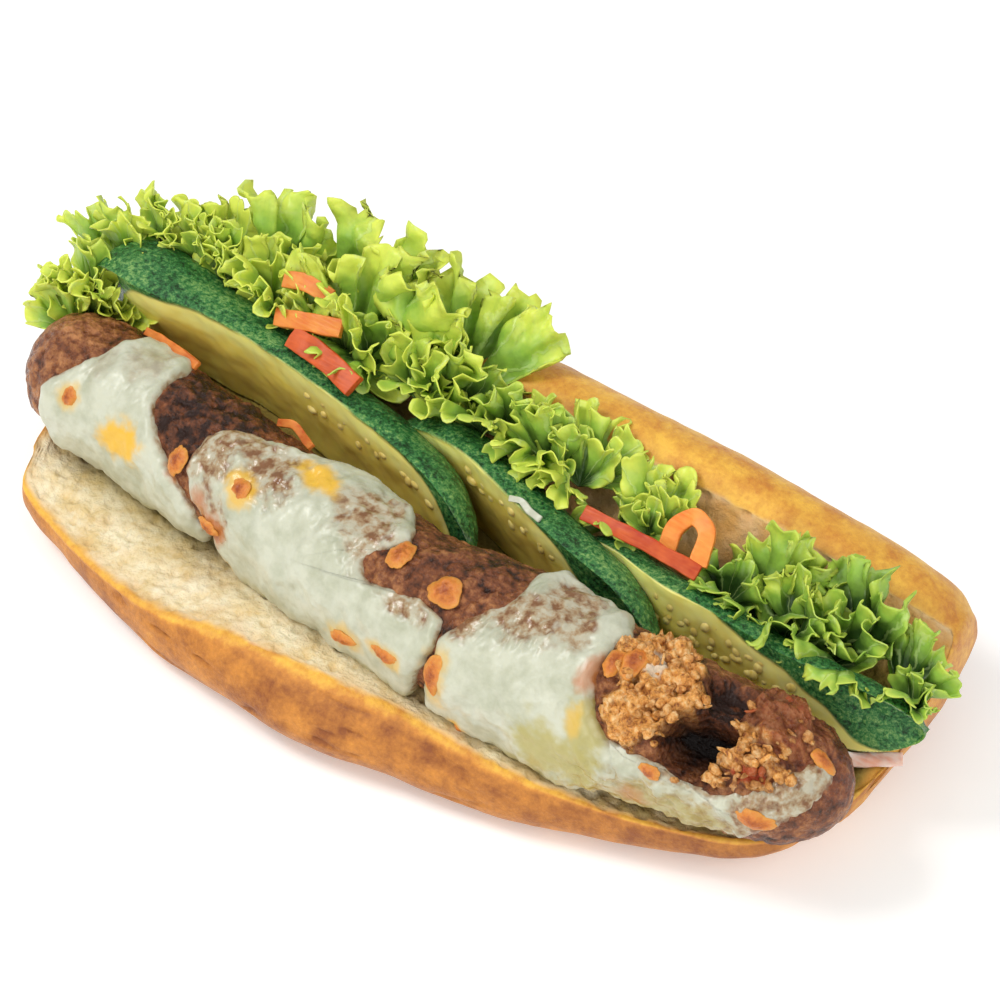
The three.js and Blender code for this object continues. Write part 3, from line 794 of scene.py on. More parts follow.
@dataclass(frozen=True)
class RootFinish:
    """A cut strip of raw root: smooth, damp, with faint lines along it."""

    name: str
    pale: str
    deep: str
    cloud: float = 5.0  # slow changes of tone, mm
    line: float = 0.9  # lines along the strip, mm across

    def build(self) -> bpy.types.Material:
        """Return the material."""
        make = Recipe(self.name)
        clouds = make.add("ShaderNodeTexNoise", None, {
            "Vector": make.place, "Scale": per_metre(self.cloud), "Detail": 3.0})
        stretch = make.add("ShaderNodeMapping", None, {"Vector": make.place, "Scale": (0.12, 1.0, 1.0)})
        lines = make.add("ShaderNodeTexNoise", None, {
            "Vector": stretch.outputs[0], "Scale": per_metre(self.line), "Detail": 2.0})
        tone = make.add("ShaderNodeMath", SCALED_SUM, {
            0: lines.outputs["Fac"], 1: 0.5, 2: clouds.outputs["Fac"]})
        tint = make.add("ShaderNodeValToRGB", None, {"Fac": tone.outputs[0]}, (
            (0.5, self.deep), (1.0, self.pale)))
        return make.finish(tint.outputs["Color"], {
            "Roughness": 0.45, "IOR": 1.4, "Subsurface Weight": 0.15,
            "Subsurface Radius": (1.0, 0.4, 0.15), "Subsurface Scale": 1.5 * MM,
        }, ((lines.outputs["Fac"], 0.15),))


@dataclass(frozen=True)
class FloorFinish:
    """A smooth white-painted board: plain and matt, with barely any tone."""

    shade: str = "#f7f7f5"
    light: str = "#fafaf8"
    glow: float = 0.16  # lifts the floor to the photograph's white

    def build(self) -> bpy.types.Material:
        """Return the material."""
        make = Recipe("white_board")
        clouds = make.add("ShaderNodeTexNoise", None, {
            "Vector": make.place, "Scale": 6.0, "Detail": 2.0})
        tint = make.add("ShaderNodeValToRGB", None, {"Fac": clouds.outputs["Fac"]}, (
            (0.3, self.shade), (0.7, self.light)))
        return make.finish(tint.outputs["Color"], {
            "Roughness": 0.8, "Emission Color": (1.0, 1.0, 1.0, 1.0), "Emission Strength": self.glow})


# The meat roll, which the cheese, the spots and the dent in the bread all follow

@dataclass
class MeatRoll:
    """A roll of minced meat lying in the split, torn open near its right end."""

    left: float = -137.0
    right: float = 127.0
    around: int = 236
    steps: int = 400
    degree: float = 0.32  # millimetres round the surface for one degree
    end: float = 18.0  # length of each rounded end
    tip: float = 6.0  # length at each end over which the roughness fades
    # Stations: x, middle y, middle z, radius
    stations: np.ndarray = field(default_factory=lambda: np.array([
        [-137, -8, 32, 17.2], [-100, -8.5, 32, 16.6], [-62, -15, 33.5, 16.4], [-28, -21, 35.2, 17.2],
        [0, -24.2, 36.5, 18], [40, -24, 37.2, 20.4], [70, -22.8, 35.6, 19], [100, -18.8, 34.4, 18],
        [127, -16, 33, 15]], dtype=float))
    # Outlines on the surface, as x and angle in degrees from the back over the top
    flap: np.ndarray = field(default_factory=lambda: np.array([
        [63, 84], [66, 58], [71, 48], [77, 54], [84.5, 78], [90.5, 98], [87.5, 112], [83.5, 122], [82, 138],
        [79, 153], [74, 151], [69, 141], [66.5, 127], [70, 118], [64, 104]], dtype=float))
    hole: np.ndarray = field(default_factory=lambda: np.array([
        [83.5, 139], [85.5, 122], [91, 107], [95, 106], [99.5, 111], [99.5, 121], [96, 131], [96.5, 141],
        [99, 160], [94, 163], [87, 157]], dtype=float))
    groove: np.ndarray = field(default_factory=lambda: np.array([
        [88, 92], [86, 68], [91, 56], [96.5, 64], [98.5, 84], [98, 104], [92, 104]], dtype=float))
    loose: np.ndarray = field(default_factory=lambda: np.array([
        [96, 138], [97.5, 124], [99, 106], [104, 98], [112, 104], [117, 128], [112, 146], [105, 156],
        [99, 156]], dtype=float))
    chunk: np.ndarray = field(default_factory=lambda: np.array([
        [97.5, 66], [99, 48], [106, 44], [113, 66], [115.5, 96], [110, 109], [105, 106],
        [99.5, 90]], dtype=float))
    chili: np.ndarray = field(default_factory=lambda: np.array([
        [102.5, 140], [105.5, 132], [110.5, 132], [111.5, 139], [106, 146]], dtype=float))
    lumps: Unevenness = field(default_factory=lambda: Unevenness(5))

    def middle(self, x: np.ndarray) -> tuple[np.ndarray, np.ndarray]:
        """Return the middle line's y and z."""
        return along(self.stations, 1, x), along(self.stations, 2, x)

    def radius(self, x: np.ndarray, angle: np.ndarray) -> np.ndarray:
        """Return the distance from the middle line to the plain surface."""
        base = along(self.stations, 3, x)
        waves = 0.05 * uneven(x * 0.13, angle * 1.6, 2.2) + 0.02 * uneven(x * 0.42, angle * 4.0, 0.4)
        ends = end_round(x, self.left, self.right, self.end, 0.0)
        return base * (1 + waves) * ends

    def point(self, x: np.ndarray, angle: np.ndarray, lift: np.ndarray | float) -> np.ndarray:
        """Return points on or above the plain surface.

        Args:
            x: Places along the roll.
            angle: Angles in radians from the back over the top.
            lift: Height above the surface.

        Returns:
            The points, as rows of three numbers.
        """
        r = self.radius(x, angle) + lift
        y, z = self.middle(x)
        return np.stack([x, y + r * np.cos(angle), z + 0.99 * r * np.sin(angle)], axis=1)

    def clear(self, points: np.ndarray, gap: float) -> np.ndarray:
        """Move points that lie in the meat straight out of it.

        Args:
            points: The points to move.
            gap: The space to keep to the surface.

        Returns:
            The moved points.
        """
        x = np.clip(points[:, 0], self.left + 0.5, self.right - 0.5)
        y, z = self.middle(x)
        out_y, out_z = points[:, 1] - y, points[:, 2] - z
        far = np.hypot(out_y, out_z) + 1e-6
        inside = (points[:, 0] > self.left) & (points[:, 0] < self.right)
        wanted = self.radius(x, np.arctan2(out_z, out_y)) + gap
        grow = np.where(inside & (far < wanted), wanted / far, 1.0)
        return np.stack([points[:, 0], y + out_y * grow, z + out_z * grow], axis=1)

    def inside(self, spots: np.ndarray, outline: np.ndarray) -> np.ndarray:
        """Return how far flat places lie inside an outline given as x and angle."""
        return depth_inside(spots, outline * np.array([1.0, self.degree]))

    def build(self, finish: bpy.types.Material) -> bpy.types.Object:
        """Return the dressed meat roll."""
        def place(u: np.ndarray, v: np.ndarray) -> np.ndarray:
            run = 0.5 - 0.5 * np.cos(np.pi * v)
            x = self.left + (self.right - self.left) * (0.86 * v + 0.14 * run)
            return self.point(x, u * 2 * np.pi, 0.0)

        piece = add_grid("meat", self.around, self.steps, place)
        start = points_of(piece)
        degrees = values_of(piece, "u") * 360
        x = start[:, 0]
        spots = np.stack([x, degrees * self.degree], axis=1)
        warp = np.stack([self.lumps.swell(start, 5.0, 2), self.lumps.swell(start + 50, 5.0, 2)], axis=1)
        torn = self.inside(spots + 2.0 * warp, self.flap)
        deep = self.inside(spots + 1.4 * warp, self.hole)
        raw = self.inside(spots + 1.6 * warp, self.chunk)
        hot = self.inside(spots + 0.8 * warp, self.chili)
        gap = self.inside(spots + 1.2 * warp, self.groove)
        crumbs = self.inside(spots + 1.6 * warp, self.loose)
        rough = self.lumps.swell(start, 3.4, 3)
        grain, _ = self.lumps.cells(start, 3.6)
        fine, _ = self.lumps.cells(start + 9, 2.0)
        # Fibres of pulled meat run at a slant along the roll
        slant = start @ np.array([[0.34, 0.5, 0.0], [-0.2, 0.9, 0.0], [0.0, 0.0, 1.0]])
        fibre = 1 - 3.0 * np.abs(self.lumps.swell(slant + 70, 2.6, 2))
        frayed = ease(-0.8, 1.2, torn)
        # the hole sinks deep, and its inside is painted near-black as painted shade
        hollow = ease(-1.8, 0.3, deep)
        lifted = ease(-0.8, 1.6, raw)
        shaded = ease(-1.2, 1.6, gap) * (1 - frayed)
        strewn = ease(-0.8, 1.0, crumbs) * ease(-0.3, 0.15, self.lumps.swell(start + 400, 4.5, 2))
        sunk = 1.9 * frayed + 2.2 * lifted + 0.5 * strewn - 4.5 * shaded - 14.0 * hollow
        char_lumps = ease(-92, -84, x) * ease(-54, -62, x) * ease(20, 45, degrees) * ease(150, 120, degrees)
        crumble = (0.55 + 0.9 * char_lumps) * rough + 0.75 * (0.55 - grain) + 0.35 * (0.5 - fine)
        open_meat = np.maximum(np.maximum(frayed, 0.7 * lifted), 0.8 * strewn) * (1 - hollow)
        crumble = crumble + open_meat * (1.9 * rough + 1.5 * np.clip(fibre, -1, 1) + 1.2 * (0.5 - grain))
        lip = 1.2 * np.exp(-((torn + 0.4) / 1.2) ** 2) * (0.6 + 0.8 * rough) * (1 - hollow)
        middle_y, middle_z = self.middle(x)
        outward = np.stack([np.zeros(len(start)), start[:, 1] - middle_y, start[:, 2] - middle_z], axis=1)
        outward /= np.linalg.norm(outward, axis=1, keepdims=True) + 1e-6
        tips = end_round(x, self.left, self.right, self.tip, 0.0)
        set_points(piece, start + outward * ((sunk + crumble + lip) * tips)[:, None])
        char = self.lumps.swell(start + 200, 22.0, 2)
        # dark: the charred patches and the dark charred stretch are the meat's own colour; the pits between
        # grains, the low parts of the lumps and the shaded groove are darkened as painted shade; a little
        # lighter towards the left end
        dark = 0.10 * char + 0.20 * ease(0.35, 0.8, grain) - 0.08 * ease(-112, -122, x) + 0.2 * char_lumps
        put_values(piece, "dark", dark - 0.10 * rough + 0.3 * shaded + 0.08 * lifted)
        fray = np.clip(frayed - 0.5 * ease(0.1, -0.6, fibre), 0, 1)
        put_values(piece, "fray", np.maximum(fray, 0.75 * strewn) + 0.16 * lifted)
        pale = np.hypot(x - 73.5, (degrees - 88) * self.degree) + 1.6 * rough
        put_values(piece, "fat", 0.85 * ease(4.4, 2.6, pale) * frayed)
        end_glow = ease(96, 108, x) * ease(150, 110, degrees)
        put_values(piece, "rusty", np.clip(0.26 * lifted * (0.7 + rough) + 0.08 * end_glow, 0, 1)
                   + 0.9 * ease(-0.5, 0.6, hot))
        put_values(piece, "hollow", hollow)
        close_seams(piece)
        settle(piece, finish, ("meat_roll",))
        return piece


@dataclass
class TornShreds:
    """Ripped fibres and grains of meat that stand out round the tear."""

    meat: MeatRoll
    count: int = 250
    fibre_share: float = 0.3
    reach: tuple[float, float] = (58, 119)  # where they may lie along the roll
    arc: tuple[float, float] = (40, 165)  # and round it, in degrees
    seed: int = 21

    def build(self, finish: bpy.types.Material) -> bpy.types.Object:
        """Return the dressed shreds as one piece."""
        chance = np.random.default_rng(self.seed)
        parts = []
        while len(parts) < self.count:
            x, degrees = chance.uniform(*self.reach), chance.uniform(*self.arc)
            spot = np.array([[x, degrees * self.meat.degree]])
            on_flap, in_hole, on_chunk, on_loose, on_chili = (
                self.meat.inside(spot, outline)[0] for outline in (
                    self.meat.flap, self.meat.hole, self.meat.chunk, self.meat.loose, self.meat.chili))
            torn = max(on_flap - 0.3, on_chunk + 0.3, on_loose + 0.2, 0.5 - abs(in_hole) / 2.6)
            if in_hole > -0.5 or torn < 0:
                continue
            if on_chunk > 0 and chance.random() < 0.6:
                continue
            lift = chance.uniform(-0.2, 3.4) if on_flap > 0 else chance.uniform(-0.6, 1.8)
            reddish = on_chunk > 0 or on_chili > -1.2
            parts.append(self.shred(len(parts), x, math.radians(degrees), lift, reddish, chance))
        whole = joined("meat_shreds", parts)
        settle(whole, finish)
        return whole

    def shred(self, number: int, x: float, angle: float, lift: float, reddish: bool,
              chance: np.random.Generator) -> bpy.types.Object:
        """Return one rough fibre or grain.

        Args:
            number: Its place in the draw.
            x: Its place along the roll.
            angle: Its angle round the roll, in radians.
            lift: Its height above the plain surface.
            reddish: Whether it is one of the redder bits.
            chance: The source of its unevenness.

        Returns:
            The shred.
        """
        deselect()
        bpy.ops.mesh.primitive_ico_sphere_add(subdivisions=2, radius=1.0)
        piece = bpy.context.active_object
        shape = points_of(piece) * MM
        lumps = Unevenness(number % 40)
        swell = 1 + 0.45 * lumps.swell(shape + number, 0.7, 2)
        is_fibre = chance.random() < self.fibre_share
        thin = chance.uniform(0.4, 0.8) if is_fibre else chance.uniform(0.7, 1.7)
        long = chance.uniform(1.4, 2.8) if is_fibre else thin * chance.uniform(0.9, 1.4)
        shape = shape * swell[:, None] * np.array([long, thin, thin * 0.8])
        shape[:, 1] += 0.12 * shape[:, 0] ** 2 * chance.uniform(-1, 1)
        turn = np.linalg.qr(chance.normal(size=(3, 3)))[0]
        if np.linalg.det(turn) < 0:
            turn[:, 0] = -turn[:, 0]
        middle = self.meat.point(np.array([x]), np.array([angle]), lift)
        set_points(piece, shape @ turn + middle)
        tones = {"dark": chance.uniform(-0.1, 0.15),
                 "fray": chance.uniform(0.3, 0.6) if reddish else chance.uniform(0.6, 1.0),
                 "rusty": 0.7 if reddish and chance.random() < 0.6 else 0.0,
                 "fat": 0.0, "hollow": 0.0}
        for name, tone in tones.items():
            put_values(piece, name, np.full(len(shape), tone))
        return piece


# The roll

@dataclass
class Roll:
    """A bread roll split from the front: low flap in front, raised half behind, one hinge of crumb."""

    hinge_height: float = 13.0
    around: int = 250
    steps: int = 330
    cap: float = 0.022  # share of the length that rounds off each end
    cap_reach: float = 5.0  # how far each end stands out, mm
    dent_gap: float = 0.35  # space between the crumb and the meat, mm
    # Stations: x, front rim y, rim z, crust bulge, underside z, back rim y, back rim z, back reach y
    stations: np.ndarray = field(default_factory=lambda: np.array([
        [-124, -27, 17, 0.5, 10, 35, 35, 47], [-121, -35.5, 15.5, 0.8, 7, 36.5, 42, 54],
        [-115, -39.5, 14.5, 1, 5, 37.5, 46, 58], [-105, -43, 14, 1, 3.2, 38, 48.5, 60],
        [-82, -50.5, 16, 1.2, 1.2, 38.5, 50.5, 61.5], [-60, -54.7, 19, 2.6, 0, 38, 52, 62],
        [-36, -53, 23, 7.5, 0, 37.5, 53, 62], [-10, -51.5, 24, 10.5, 0, 37, 53.5, 62],
        [16, -48.5, 23, 9, 0, 37, 53, 62], [45, -47, 20.5, 4.6, 0, 38, 52, 62.5],
        [72, -41.2, 18, 1.6, 2.6, 39.5, 49.5, 63], [92, -34.4, 17, 0.7, 5.4, 40, 47, 63.5],
        [105, -28, 16.5, 0.5, 7.4, 41, 44.5, 63.5], [113, -21, 17, 0.5, 10.5, 43, 41, 63],
        [118, -10, 18, 0.5, 14, 46, 36, 60.5]], dtype=float))
    lumps: Unevenness = field(default_factory=lambda: Unevenness(11))

    def section(self, x: np.ndarray) -> np.ndarray:
        """Return the outline's 26 control points at each x, crust first and cut faces after it.

        Point 0 is the front rim, 5 to 8 are the underside, 16 is the back rim, 21 is the hinge and
        26 is the front rim again.
        """
        rim_y, rim_z, bulge, under, back_y, back_z, reach = (along(self.stations, c, x) for c in range(1, 8))
        front_high = rim_z - under
        back_high = back_z - under
        out = reach - back_y
        hinge = np.maximum(under + 4, self.hinge_height * (0.4 + 0.6 * back_z / 53))
        ring = [
            (rim_y - 0.3, rim_z),
            (rim_y - 0.5 - 0.42 * bulge, rim_z - 0.1 * front_high),
            (rim_y - 0.5 - 0.85 * bulge, rim_z - 0.33 * front_high),
            (rim_y - bulge, rim_z - 0.6 * front_high),
            (rim_y + 2 - 0.75 * bulge, under + 0.15 * front_high),
            (rim_y * 0.86, under),
            (rim_y * 0.45, under * 0.75),
            (8 + 0 * x, under * 0.7),
            (back_y - 6, under * 0.8),
            (back_y + 0.35 * out, under + 0.03 * back_high),
            (back_y + 0.72 * out, under + 0.17 * back_high),
            (back_y + 0.96 * out, under + 0.38 * back_high),
            (reach, under + 0.6 * back_high),
            (back_y + 0.86 * out, under + 0.84 * back_high),
            (back_y + 0.58 * out, under + 1.01 * back_high),
            (back_y + 0.25 * out, under + 1.055 * back_high),
            (back_y + 0.5, back_z + 0.6),
        ]
        ring += [(back_y * t, hinge + (back_z - hinge) * t ** 1.25) for t in (0.96, 0.7, 0.46, 0.22)]
        ring += [(-1.5 + 0 * x, hinge + 0.3)]
        ring += [(rim_y * t, hinge + (rim_z - hinge) * t + 1.1 * math.sin(math.pi * t))
                 for t in (0.2, 0.44, 0.68, 0.9)]
        return np.stack([np.stack(pair, axis=1) for pair in ring])

    def outline(self, x: np.ndarray, t: np.ndarray) -> np.ndarray:
        """Return y and z on the smooth outline at each x, t running once round the control points."""
        ring = self.section(x)
        count = len(ring)
        i = np.floor(t).astype(int) % count
        f = (t - np.floor(t))[:, None]
        row = np.arange(len(x))
        a, b, c, d = (ring[(i + k) % count, row] for k in (-1, 0, 1, 2))
        rise = f * f * (3 - 2 * f)
        return b * (1 - rise) + c * rise + 0.5 * (f * (1 - f) ** 2 * (c - a) + f * f * (f - 1) * (d - b))

    def build(self, meat: MeatRoll, finish: bpy.types.Material) -> bpy.types.Object:
        """Return the dressed roll.

        Args:
            meat: The meat roll, which leaves its dent in the crumb.
            finish: The bread.

        Returns:
            The roll.
        """
        left, right = self.stations[0, 0], self.stations[-1, 0]
        around_stops = [0.0, 0.2, 0.34, 0.52, 0.7, 1.0]
        ring_stops = [0.0, 4.5, 9.0, 16.5, 20.5, 26.0]

        def place(u: np.ndarray, v: np.ndarray) -> np.ndarray:
            t = np.interp(u, around_stops, ring_stops)
            body = np.clip((v - self.cap) / (1 - 2 * self.cap), 0, 1)
            x = left + (right - left) * eased_steps(body)
            flat = self.outline(x, t)
            over = np.maximum(self.cap - v, v - 1 + self.cap) / self.cap
            turn = np.clip(over, 0, 1) * np.pi / 2
            middle = self.section(x).mean(axis=0)
            ring = middle + (flat - middle) * np.cos(turn)[:, None]
            push = self.cap_reach * np.sin(turn) * np.where(v < 0.5, -1, 1)
            return np.stack([x + push, ring[:, 0], ring[:, 1]], axis=1)

        piece = add_grid("bread_roll", self.around, self.steps, place)
        t = np.interp(values_of(piece, "u"), around_stops, ring_stops)
        v = values_of(piece, "v")
        start = points_of(piece)
        wander = 0.35 * self.lumps.swell(start, 7.0, 2)
        on_faces = ease(15.9, 16.9, t + wander) * ease(26.0, 25.4, t + wander)
        capped = ease(0.0, 0.5, np.maximum(self.cap - v, v - 1 + self.cap) / self.cap)
        put_values(piece, "crumb", on_faces * (1 - capped))
        put_values(piece, "ring", t)
        close_seams(piece)
        self.roughen(piece, meat)
        settle(piece, finish, ("roll",))
        return piece

    def roughen(self, piece: bpy.types.Object, meat: MeatRoll) -> None:
        """Give the crust its swells and creases and the crumb its pits and dents.

        Args:
            piece: The smooth roll.
            meat: The meat roll that lies in it.
        """
        points = points_of(piece)
        crumb = values_of(piece, "crumb")
        ring = values_of(piece, "ring")
        x = points[:, 0]
        swell = 0.9 * self.lumps.swell(points, 34.0, 2) + 0.35 * self.lumps.swell(points, 11.0, 2)
        long_points = points * np.array([0.14, 1.0, 1.0])
        crease = np.clip(1 - np.abs(self.lumps.swell(long_points + 40, 8.0, 2)) * 7, 0, 1) ** 1.5
        broken = ease(-0.15, 0.25, self.lumps.swell(points + 140, 16.0, 2))
        belly = ease(-90, -62, x) * ease(60, 20, x) * ease(0.4, 1.2, ring) * ease(4.6, 3.2, ring)
        crease = crease * belly * broken
        pits, luck = self.lumps.cells(points, 4.2)
        small, _ = self.lumps.cells(points + 90, 1.9)
        hollows = -1.2 * ease(0.5, 0.12, pits) * (luck > 0.45) - 0.45 * ease(0.5, 0.2, small)
        soft = 0.9 * self.lumps.swell(points, 9.0, 3)
        amount = (1 - crumb) * (swell - 1.1 * crease) + crumb * (hollows + soft)
        resting = ease(1.5, 5.0, points[:, 2])
        raise_by(piece, amount * resting)
        moved = points_of(piece)
        in_split = (ring > 16.8) & (ring < 25.9)
        moved = np.where(in_split[:, None], meat.clear(moved, self.dent_gap), moved)
        moved[:, 2] = np.maximum(moved[:, 2], 0.0)
        set_points(piece, moved)
        y, z = meat.middle(x)
        near = np.hypot(moved[:, 1] - y, moved[:, 2] - z) - along(meat.stations, 3, x)
        # oil soaks the crumb next to the meat; its darkening towards the meat is partly painted shade
        oil = ease(9.0, 0.6, near) * crumb * ease(-130, -90, x)
        blotch = self.lumps.swell(points + 300, 8.0, 3)
        oil = oil * np.clip(0.6 + 1.1 * blotch, 0, 1) * (0.5 + 0.7 * ease(10, 45, x))
        # painted shade: the crumb deep in the split between meat and pickle is darkened with the oil colour
        gutter = ease(17.4, 18.2, ring) * ease(24.5, 22.5, ring) * ease(38, 28, moved[:, 2])
        put_values(piece, "oil", np.clip(np.maximum(oil, gutter), 0, 0.95))
        back = ease(16.0, 17.0, ring) * ease(21.0, 19.0, ring)
        rim = np.exp(-((ring - 25.6) / 0.5) ** 2)
        put_values(piece, "toast", np.clip(0.8 * back + 0.3 * rim + 0.35 * blotch * crumb, 0, 1))
        front = ease(0.1, 1.0, ring) * ease(6.5, 3.5, ring)
        low_back = ease(14.5, 9.5, ring) * ease(7.0, 9.0, ring)
        brown = 0.25 * front + 0.16 * low_back + 0.10 * ease(4.0, 6.0, ring) * ease(9.5, 8.0, ring)
        streaks = self.lumps.swell(points * np.array([0.4, 1, 1]) + 500, 15.0, 2)
        # the creases are darkened as painted shade; the streaks on the front are browning of the crust
        brown += 0.16 * crease + 0.10 * front * streaks
        put_values(piece, "brown", brown)


# Melted cheese

class Mark(Enum):
    """What the grill left on a place of the cheese."""

    GOLD = "gold"
    TOAST = "toast"
    THIN = "thin"
    OIL = "oil"


@dataclass(frozen=True)
class Stain:
    """One coloured place on the cheese: x, angle in degrees, half length and half width in mm."""

    kind: Mark
    x: float
    angle: float
    long: float
    wide: float
    strength: float = 1.0


STAINS = (
    Stain(Mark.GOLD, -93, 160, 7.0, 6.0, 1.0),
    Stain(Mark.GOLD, -53.5, 214, 4.5, 4.0, 0.55),
    Stain(Mark.GOLD, -32.5, 85, 7.5, 4.0, 1.0),
    Stain(Mark.GOLD, 63, 150, 2.6, 4.0, 0.6),
    Stain(Mark.OIL, 66, 152, 6.0, 7.0, 0.75),
    Stain(Mark.OIL, 66, 186, 8.0, 9.0, 0.8),
    Stain(Mark.OIL, 56, 186, 9.0, 8.0, 0.8),
    Stain(Mark.OIL, 52, 226, 14.0, 5.0, 0.6),
    Stain(Mark.OIL, 8, 226, 16.0, 5.0, 0.5),
    Stain(Mark.OIL, -36, 226, 16.0, 4.5, 0.5),
    Stain(Mark.OIL, 88, 200, 18.0, 8.5, 0.6),
    Stain(Mark.TOAST, 80, 196, 4.5, 3.0, 0.5),
    Stain(Mark.OIL, -80, 226, 16.0, 4.0, 0.35),
    Stain(Mark.GOLD, -112, 148, 3.4, 4.0, 0.6),
    Stain(Mark.GOLD, -6.5, 188, 6.0, 3.6, 0.6),
    Stain(Mark.GOLD, 7.5, 178, 5.6, 3.4, 0.6),
    Stain(Mark.GOLD, 24, 172, 4.8, 7.0, 0.55),
    Stain(Mark.GOLD, 17, 114, 6.0, 5.0, 0.6),
    Stain(Mark.GOLD, -50.5, 131, 5.4, 5.0, 0.8),
    Stain(Mark.TOAST, -57, 177, 5.0, 5.5, 0.85),
    Stain(Mark.TOAST, -62, 160, 4.0, 3.5, 0.7),
    Stain(Mark.TOAST, -73, 144, 4.0, 5.0, 0.8),
    Stain(Mark.GOLD, 29, 214, 3.0, 2.6, 0.9),
    Stain(Mark.TOAST, 62, 118, 3.0, 4.5, 0.7),
    Stain(Mark.THIN, -64, 116, 9.0, 10.0),
    Stain(Mark.THIN, -56, 94, 8.0, 6.0, 0.9),
    Stain(Mark.THIN, -46, 104, 10.0, 8.0),
    Stain(Mark.THIN, -39, 88, 6.0, 3.5, 0.8),
    Stain(Mark.THIN, -57, 168, 7.0, 8.0, 0.9),
    Stain(Mark.THIN, -14, 86, 10.0, 9.5),
    Stain(Mark.THIN, -22, 86, 5.0, 4.0, 0.8),
    Stain(Mark.THIN, -10, 112, 5.0, 6.0, 0.8),
    Stain(Mark.THIN, 9, 135, 9.0, 3.2, 0.95),
    Stain(Mark.THIN, 38, 104, 12.0, 6.0),
    Stain(Mark.THIN, 46, 78, 9.0, 9.0, 0.9),
    Stain(Mark.THIN, 26, 124, 6.0, 4.0, 0.95),
    Stain(Mark.THIN, 52, 98, 6.0, 5.0, 0.8),
    Stain(Mark.THIN, 115, 132, 13.0, 16.0),
    Stain(Mark.THIN, 114, 176, 11.0, 9.0),
    Stain(Mark.THIN, 90, 206, 26.0, 12.0),
    Stain(Mark.THIN, -98, 88, 7.0, 7.0, 0.5),
    Stain(Mark.THIN, -108, 110, 4.0, 6.0, 0.4),
)


@dataclass
class CheesePatch:
    """One melted slice of cheese lying over the meat roll."""

    name: str
    corners: Sequence[tuple[float, float]]
    heart: tuple[float, float]
    thick: float
    seed: int
    thinned: float = 0.0
    around: int = 300
    rings: int = 110
    top: float = 0.7  # share of the grid that makes the upper face
    degree: float = 0.3  # millimetres round the meat roll for one degree

    def build(self, meat: MeatRoll, finish: bpy.types.Material) -> bpy.types.Object:
        """Return the dressed patch.

        Args:
            meat: The meat roll that it lies on.
            finish: The cheese.

        Returns:
            The patch.
        """
        lumps = Unevenness(self.seed)
        flat = np.array(self.corners, dtype=float) * np.array([1.0, self.degree])
        outline = closed_curve(flat, 0.35, self.around)
        level = np.column_stack([outline, np.zeros(len(outline))])
        ahead = np.roll(outline, -1, axis=0) - np.roll(outline, 1, axis=0)
        side = np.stack([ahead[:, 1], -ahead[:, 0]], axis=1) / np.linalg.norm(ahead, axis=1, keepdims=True)
        wave = 1.2 * lumps.swell(level, 10.0, 2) + 0.8 * lumps.swell(level + 30, 3.6, 2)
        outline = outline + side * wave[:, None]
        heart = np.array(self.heart, dtype=float) * np.array([1.0, self.degree])
        top = self.top

        def spots(u: np.ndarray, v: np.ndarray) -> np.ndarray:
            reach = np.where(v < top, v / top, (1 - v) / (1 - top))
            reach = 1 - (1 - reach) ** 1.5
            edge_spot = u * self.around
            i = np.floor(edge_spot).astype(int) % self.around
            f = (edge_spot - np.floor(edge_spot))[:, None]
            edge = outline[i] * (1 - f) + outline[(i + 1) % self.around] * f
            return heart + (edge - heart) * reach[:, None]

        def place(u: np.ndarray, v: np.ndarray) -> np.ndarray:
            spot = spots(u, v)
            x, degrees = spot[:, 0], spot[:, 1] / self.degree
            angle = np.radians(degrees)
            inside = np.maximum(depth_inside(spot, outline), 0.0)
            here = meat.point(x, angle, 0.0)
            rim = np.sqrt(1 - (1 - np.clip(inside / 2.4, 0, 1)) ** 2)
            thin = np.maximum(self.amount(Mark.THIN, spot, here, lumps), self.thinned)
            body = 1 + 0.42 * lumps.swell(here, 9.0, 2) + 0.2 * lumps.swell(here + 7, 3.2, 2)
            body = body + 0.1 * np.exp(-((inside - 2.2) / 1.4) ** 2)
            high = self.thick * rim * body * (1 - 0.7 * thin)
            high = high + thin * 0.8 * rim * lumps.swell(here + 21, 2.8, 3)
            foot = np.clip((degrees - 190) / 40, 0, 1) * 2.2 * rim
            base = -0.5 + 1.5 * np.clip(inside / 4.0, 0, 1) ** 0.7
            return meat.point(x, angle, np.where(v < top, base + high + foot, base))

        piece = add_grid(self.name, self.around, self.rings, place)
        u, v = values_of(piece, "u"), values_of(piece, "v")
        spot = spots(u, v)
        here = points_of(piece)
        thin = np.maximum(self.amount(Mark.THIN, spot, here, lumps), self.thinned)
        edge = 0.8 * ease(1.4, 0.1, depth_inside(spot, outline) + 0.8 * lumps.swell(here, 2.5, 2))
        put_values(piece, "thin", np.clip(np.maximum(thin, edge), 0, 1))
        for kind in (Mark.OIL, Mark.GOLD, Mark.TOAST):
            put_values(piece, kind.value, self.amount(kind, spot, here, lumps))
        close_seams(piece)
        settle(piece, finish, (self.name.replace("melted", "cheese"),))
        return piece

    def amount(self, kind: Mark, spot: np.ndarray, here: np.ndarray, lumps: Unevenness) -> np.ndarray:
        """Return how strongly one kind of stain shows at each place.

        Args:
            kind: The kind of stain.
            spot: Flat places on the meat roll's surface.
            here: The same places in space.
            lumps: The unevenness of the stains' edges.

        Returns:
            The strength from 0 to 1.
        """
        total = np.zeros(len(spot))
        wander = 0.5 * lumps.swell(here + 60, 5.0, 3) + 0.25 * lumps.swell(here + 90, 1.8, 2)
        for stain in STAINS:
            if stain.kind is kind:
                across = (spot[:, 0] - stain.x) / stain.long
                round_it = (spot[:, 1] - stain.angle * self.degree) / stain.wide
                near = np.hypot(across, round_it) + wander
                total = np.maximum(total, stain.strength * ease(1.3, 0.5, near))
        return total


